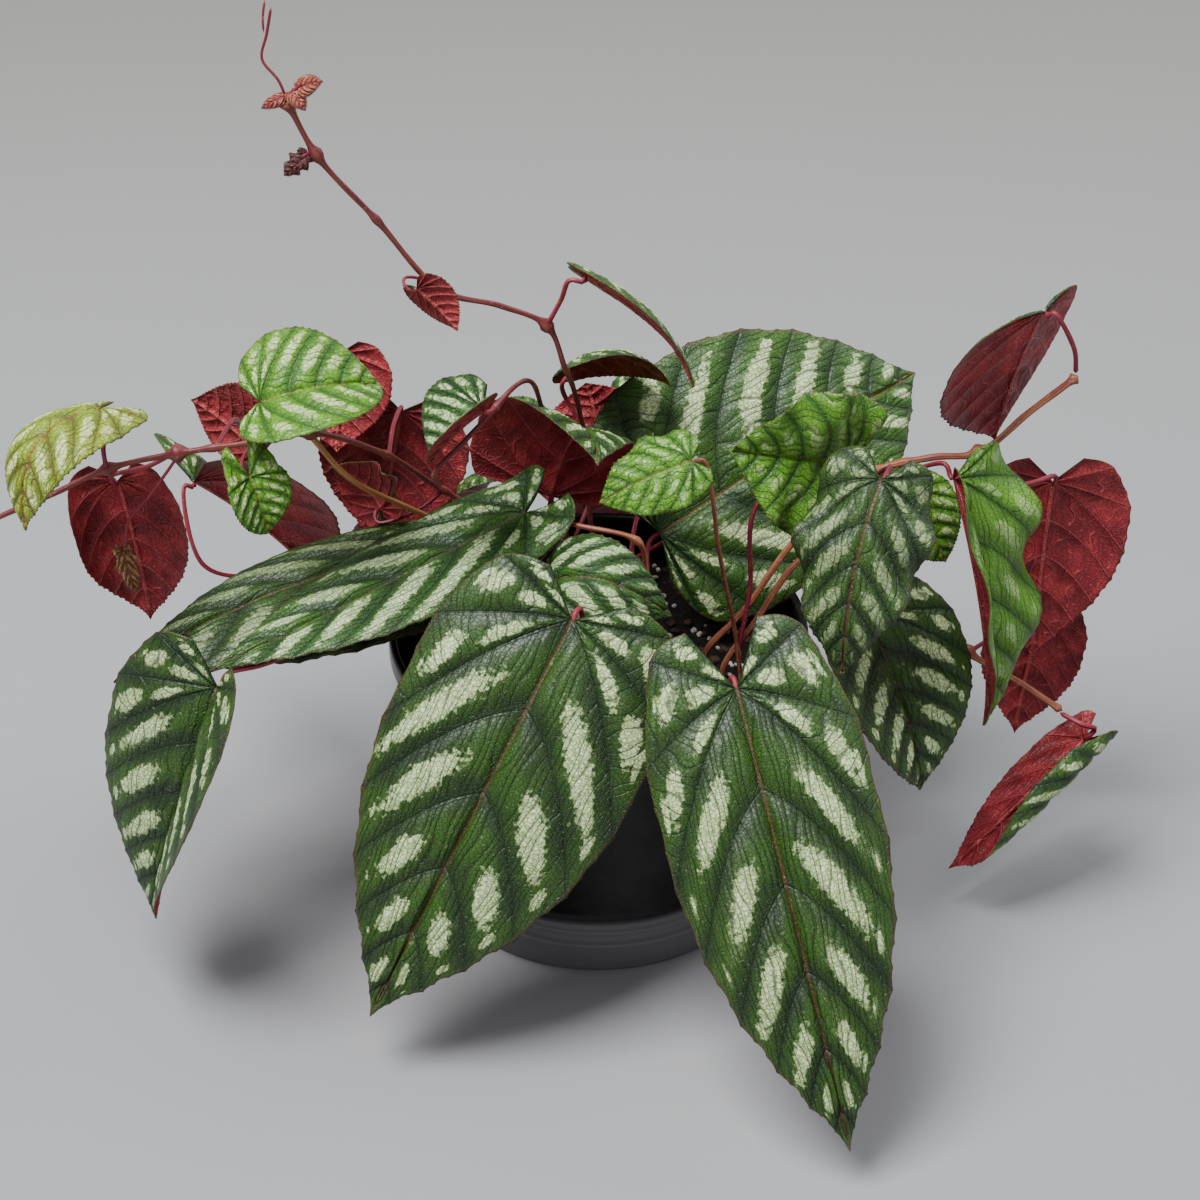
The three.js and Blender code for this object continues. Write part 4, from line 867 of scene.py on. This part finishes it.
def stemPaint(name, look):
    paint = Paint(name, Specular_IOR_Level=0.45)
    along, turn, tint = paint.attribute("stemPlace")
    patches = paint.noise(70, 3)
    colour = paint.blend(paint.smooth(patches + 0.25 * tint, 0.32, 0.68), look["first"], look["second"])
    streaks = paint.maths("SINE", turn * look["streaks"] + 6 * paint.noise(40, 1))
    colour = paint.blend(look["streakAmount"] * paint.smooth(streaks, 0.2, 0.9), colour, look["streak"])
    dots = paint.smooth(paint.noise(700, 1), 0.62, 0.70)
    colour = paint.blend(0.4 * dots, colour, look["dot"])
    paint.bump(0.5 * streaks + dots + 0.4 * patches, 0.12, 0.8)
    return paint.finish(colour, 0.38 + 0.2 * patches)


stemLooks = {
    "vine": dict(first=(0.18, 0.032, 0.026), second=(0.125, 0.012, 0.022), streak=(0.28, 0.09, 0.04),
        dot=(0.36, 0.17, 0.1), streaks=3, streakAmount=0.35),
    "stalk": dict(first=(0.3, 0.026, 0.048), second=(0.18, 0.015, 0.03), streak=(0.38, 0.055, 0.07),
        dot=(0.4, 0.12, 0.11), streaks=4, streakAmount=0.3),
    "woody": dict(first=(0.33, 0.1, 0.045), second=(0.19, 0.035, 0.028), streak=(0.48, 0.24, 0.11),
        dot=(0.5, 0.32, 0.2), streaks=5, streakAmount=0.55),
    "amber": dict(first=(0.48, 0.31, 0.06), second=(0.36, 0.14, 0.05), streak=(0.56, 0.42, 0.11),
        dot=(0.5, 0.32, 0.16), streaks=3, streakAmount=0.5),
}
stemPaints = {key: stemPaint("stem_" + key, look) for key, look in stemLooks.items()}
for name, stem in stems.items():
    x, y = stem["root"]
    deep = stemForm["footDepth"]
    foot = [(x, y, deep), (x, y, deep + stemForm["footStraight"]),
            (x, y, stemForm["soilCrown"] + stemForm["aboveSoil"])]
    tail = stalkEnd(leaves[stem["leaf"]]) if "leaf" in stem else []
    flare = stemForm["flare"] if tail else 0
    branches = stem.get("branches", [])
    starts = [branch["route"][0] for branch in branches]
    mainKey = stem.get("paint", stem["colour"])
    tubes = [(mainKey, roundTube(foot + stem["route"] + tail, stem["radius"] * stemForm["slim"],
                                 stem.get("joints", []) + starts, flare, 0.0))]
    for number, branch in enumerate(branches):
        tail = stalkEnd(leaves[branch["leaf"]]) if "leaf" in branch else []
        key = branch.get("paint", "stalk")
        radius = branch.get("radius", stemForm["branchRadius"]) * stemForm["slimBranch"]
        flare = stemForm["flare"] if tail else 0
        tubes.append((key, roundTube(branch["route"] + tail, radius, [], flare, 0.3 * number)))
    keys = sorted(set(key for key, _ in tubes))
    offset = 0
    points, quads, corners, slots = [], [], [], []
    for key, (tubePoints, tubeQuads, tubeCorners) in tubes:
        points.append(tubePoints)
        quads.append(tubeQuads + offset)
        corners.append(tubeCorners)
        slots.append(np.full(len(tubeQuads), keys.index(key)))
        offset += len(tubePoints)
    solidPiece("stem_" + name + "_stalks", np.concatenate(points), np.concatenate(quads),
               [stemPaints[key] for key in keys], np.concatenate(slots),
               {"stemPlace": np.concatenate(corners)}, ["stem_" + name])
print("stems", len(stems))


# The pot: one profile turned about the middle, with drain holes cut in its floor
potForm = {
    "sides": 144,
    "profile": [(0, 0), (40, 0), (58, 0), (63.4, 0.1), (64.6, 0.6), (65, 1.6), (66.9, 12.6),
        (67.1, 13.4), (68, 13.9), (68.2, 14.6), (68.2, 15.4), (67.9, 16), (66.9, 16.4), (67.1, 19.6),
        (67.3, 20.4), (68.5, 20.9), (68.8, 21.5), (68.8, 22.3), (68.4, 22.9), (67.8, 23.3), (68.2, 24),
        (68.2, 24.8), (67.6, 25.6), (66.7, 26.2), (66.9, 30), (68.5, 46), (70.9, 66), (73.2, 86),
        (75.2, 103), (75.6, 104.2), (76.4, 104.8), (77.3, 105), (77.9, 105.5), (78, 106.4), (78, 111.6),
        (77.8, 112.9), (77.2, 113.7), (76.3, 114), (75.4, 113.8), (74.7, 113), (74, 111.4), (73.8, 110),
        (73.8, 104), (71.4, 86), (69.2, 66), (66.8, 44), (65.2, 25), (64.6, 14), (63.6, 4.4), (63, 3),
        (61.6, 2.4), (50, 2.4), (30, 2.4), (0, 2.4)],
    "drainHoles": 6,
    "drainRadius": 5,
    "drainRing": 48,
    "drainCut": (-3, 6),
    "drainSides": 32,
}


def lathe(profile, sides):
    # Turn a profile of (radius, height) about the vertical; points on the axis become one
    profile = np.array(profile, float)
    turn = np.arange(sides) * 2 * np.pi / sides
    x = profile[:, :1] * np.cos(turn)
    y = profile[:, :1] * np.sin(turn)
    z = np.broadcast_to(profile[:, 1:], x.shape)
    index = np.arange(x.size).reshape(x.shape)
    index[profile[:, 0] == 0] = index[profile[:, 0] == 0][:, :1]
    return np.stack([x, y, z], -1).reshape(-1, 3), ringQuads(index)[:, ::-1]


def potPaint():
    paint = Paint("potPlastic", Specular_IOR_Level=0.2)
    height = paint.node("SeparateXYZ", None, {0: paint.objectPlace}, 2) / mm
    clouds = paint.noise(35, 4)
    colour = paint.blend(clouds, (0.0012, 0.0014, 0.0015), (0.003, 0.0032, 0.0035))
    dust = paint.smooth(clouds + 0.3 * paint.noise(260, 2), 0.55, 0.95)
    # The lower band is painted grey: a painted reflection of the pale floor in the black plastic
    foot = paint.smooth(height, 26.5, 25.0)
    colour = paint.blend(0.75 * foot, colour, (0.17, 0.17, 0.18))
    colour = paint.blend(0.10 * dust, colour, (0.16, 0.14, 0.11))
    scratches = paint.noise(900, 2)
    paint.bump(0.2 * scratches + 0.8 * clouds, 0.06, 0.6)
    return paint.finish(colour, 0.20 + 0.16 * clouds + 0.14 * dust + 0.12 * foot)


points, quads = lathe(potForm["profile"], potForm["sides"])
potPiece = solidPiece("pot_shell", points, quads, [potPaint()], nodes=("pot",))
turns = (np.arange(potForm["drainHoles"]) + 0.5) * 2 * np.pi / potForm["drainHoles"]
wide, ring = potForm["drainRadius"], potForm["drainRing"]
low, high = potForm["drainCut"]
plugPoints, plugQuads = lathe([(0, low), (wide, low), (wide, high), (0, high)], potForm["drainSides"])
plugs = [plugPoints + [ring * np.cos(turn), ring * np.sin(turn), 0] for turn in turns]
cutterMesh = bpy.data.meshes.new("drainCutter")
cutterFaces = np.concatenate([plugQuads + len(plugPoints) * number for number in range(len(plugs))])
cutterMesh.from_pydata((np.concatenate(plugs) * mm).tolist(), [],
                       [list(dict.fromkeys(face)) for face in cutterFaces.tolist()])
cutter = added("drainCutter", cutterMesh)
cut = potPiece.modifiers.new("drain", "BOOLEAN")
cut.object = cutter
cut.operation = "DIFFERENCE"
cut.solver = "EXACT"
bpy.context.view_layer.update()
cutMesh = bpy.data.meshes.new_from_object(potPiece.evaluated_get(bpy.context.evaluated_depsgraph_get()))
potPiece.modifiers.clear()
potPiece.data = cutMesh
bpy.data.objects.remove(cutter)
print("pot")


# The potting mix: a rough crown on a plain plug, with pale grit and bits of bark lying on it
soilForm = {
    "sides": 180,
    "rings": 70,
    "topRadius": 72.6,
    "edge": 97,
    "crown": 101,
    "rough": 1.1,
    "waves": 14,
    "waveLength": 34,
    "waveShrink": 0.78,
    "side": [(0, 2.7), (61.6, 2.7), (63.1, 4.2), (64.9, 25), (72.6, 95)],
    "grit": 260,
    "bark": 260,
    "bare": 4,  # no lump lies nearer the wall
    "lumpGrid": (6, 8),
    "lumpRough": (0.82, 1.12),
    "lumpRise": 0.4,
}


def rolling(x, y, seed):
    # A sum of sine waves with seeded directions, shorter waves lower
    dice = np.random.default_rng(seed)
    longest = soilForm["waveLength"]
    total = np.zeros_like(x)
    for number in range(soilForm["waves"]):
        length = longest * soilForm["waveShrink"] ** number
        turn, phase = dice.uniform(0, 2 * np.pi, 2)
        way = x * np.cos(turn) + y * np.sin(turn)
        total += length / longest * np.sin(2 * np.pi * way / length + phase)
    return total


def soilHeight(x, y):
    part = np.clip(np.hypot(x, y) / soilForm["topRadius"], 0, 1)
    fall = (soilForm["crown"] - soilForm["edge"]) * part ** 3
    return soilForm["crown"] - fall + soilForm["rough"] * rolling(x, y, 5) * (1 - part ** 8)


def soilPaint():
    paint = Paint("soilMix", Specular_IOR_Level=0.25)
    crumbs = paint.noise(420, 5)
    colour = paint.blend(paint.smooth(crumbs, 0.35, 0.7), (0.0015, 0.0012, 0.001), (0.014, 0.009, 0.006))
    fibres = paint.smooth(paint.noise(1300, 2), 0.60, 0.72)
    colour = paint.blend(0.5 * fibres, colour, (0.045, 0.028, 0.016))
    paint.bump(crumbs + 0.4 * fibres, 1.2, 1.0)
    return paint.finish(colour, 0.80 + 0.15 * crumbs)


rim = np.linspace(soilForm["topRadius"], 0, soilForm["rings"])
points, quads = lathe(soilForm["side"] + [(radius, soilForm["edge"]) for radius in rim], soilForm["sides"])
top = points[:, 2] > soilForm["side"][-1][1] + 1
points[top, 2] = soilHeight(points[top, 0], points[top, 1])
solidPiece("soil_mix", points, quads, [soilPaint()], nodes=("soil",))


def crumbs(count, sizes, flat, seed):
    # Small rounded lumps: a coarse sphere each, stretched, roughened and laid on the soil
    dice = np.random.default_rng(seed)
    rows, sides = soilForm["lumpGrid"]
    each = rows * sides
    rises = np.linspace(-np.pi / 2, np.pi / 2, rows)
    rise, turn = np.meshgrid(rises, np.arange(sides) * 2 * np.pi / sides, indexing="ij")
    ball = np.stack([np.cos(rise) * np.cos(turn), np.cos(rise) * np.sin(turn), np.sin(rise)], -1)
    index = np.arange(each).reshape(rows, sides)
    index[[0, -1]] = index[[0, -1], :1]
    one = ringQuads(index)
    radius = (soilForm["topRadius"] - soilForm["bare"]) * np.sqrt(dice.uniform(0, 1, count))
    around = dice.uniform(0, 2 * np.pi, count)
    x, y = radius * np.cos(around), radius * np.sin(around)
    size = dice.uniform(*sizes, (count, 1, 1))
    size = size * dice.uniform([0.8, 0.8, flat], [1.6, 1.0, flat * 1.3], (count, 3))[:, None]
    lump = ball.reshape(-1, 3) * size * dice.uniform(*soilForm["lumpRough"], (count, each, 1))
    spin = dice.uniform(0, 2 * np.pi, (count, 1))
    turned = np.stack([lump[..., 0] * np.cos(spin) - lump[..., 1] * np.sin(spin),
                       lump[..., 0] * np.sin(spin) + lump[..., 1] * np.cos(spin), lump[..., 2]], -1)
    middle = np.stack([x, y, soilHeight(x, y) + size[:, 0, 2] * soilForm["lumpRise"]], -1)
    points = (turned + middle[:, None]).reshape(-1, 3)
    return points, (one[None] + each * np.arange(count)[:, None, None]).reshape(-1, 4)


def lumpPaint(name, first, second, roughness):
    paint = Paint(name, Specular_IOR_Level=0.3)
    grain = paint.noise(600, 4)
    paint.bump(grain, 0.4, 0.8)
    return paint.finish(paint.blend(paint.smooth(grain, 0.35, 0.65), first, second), roughness + 0.1 * grain)


points, quads = crumbs(soilForm["grit"], (0.5, 1.5), 0.8, 3)
solidPiece("soil_grit", points, quads, [lumpPaint("grit", (0.30, 0.28, 0.24), (0.62, 0.60, 0.55), 0.8)])
points, quads = crumbs(soilForm["bark"], (1.0, 3.2), 0.35, 4)
solidPiece("soil_bark", points, quads, [lumpPaint("bark", (0.012, 0.007, 0.004), (0.06, 0.03, 0.016), 0.75)])
print("soil")


# A plain pale floor, and soft light from above
studio = {
    "floor": (0.345, 0.350, 0.360),
    "far": (0.275, 0.266, 0.240),
    "shade": 0.9,
    "farFrom": (0.1, 1.4),  # m behind the pot
    "floorSize": 8,  # m
    "sky": (0.96, 0.98, 1, 1),
    "world": 0.50,
    "aim": (0, 0, 0.12),  # m
    "lights": [
        ((-0.6, -0.35, 1.9), 0.9, 64),  # place in m, size in m, watts
        ((1.2, 0.8, 1.5), 1.0, 16),
    ],
}


def floorPaint():
    paint = Paint("floorPaper", Specular_IOR_Level=0.2)
    clouds = paint.noise(2.2, 4)
    shade = [value * studio["shade"] for value in studio["floor"]]
    paint.bump(paint.noise(600, 2), 0.2, 0.3)
    depth = paint.node("SeparateXYZ", None, {0: paint.objectPlace}, 1)
    near = paint.blend(clouds, shade, studio["floor"])
    colour = paint.blend(paint.smooth(depth, *studio["farFrom"]), near, studio["far"])
    return paint.finish(colour, 0.8 + 0.1 * clouds)


half = studio["floorSize"] / 2
floorMesh = bpy.data.meshes.new("floor")
floorCorners = [(-half, -half, 0), (half, -half, 0), (half, half, 0), (-half, half, 0)]
floorMesh.from_pydata(floorCorners, [], [(0, 1, 2, 3)])
floorMesh.materials.append(floorPaint())
floor = added("floor", floorMesh)

world = bpy.data.worlds.new("studio")
world.use_nodes = True
background = world.node_tree.nodes["Background"]
background.inputs["Color"].default_value = studio["sky"]
background.inputs["Strength"].default_value = studio["world"]
bpy.context.scene.world = world
for number, (place, size, power) in enumerate(studio["lights"]):
    lightData = bpy.data.lights.new("softbox_%d" % number, "AREA")
    lightData.size = size
    lightData.energy = power
    light = added("softbox_%d" % number, lightData)
    light.location = place
    aim = np.subtract(studio["aim"], place)
    tilt = math.atan2(np.hypot(aim[0], aim[1]), -aim[2])
    light.rotation_euler = (tilt, 0, math.atan2(aim[0], -aim[1]) + math.pi)
print("studio")
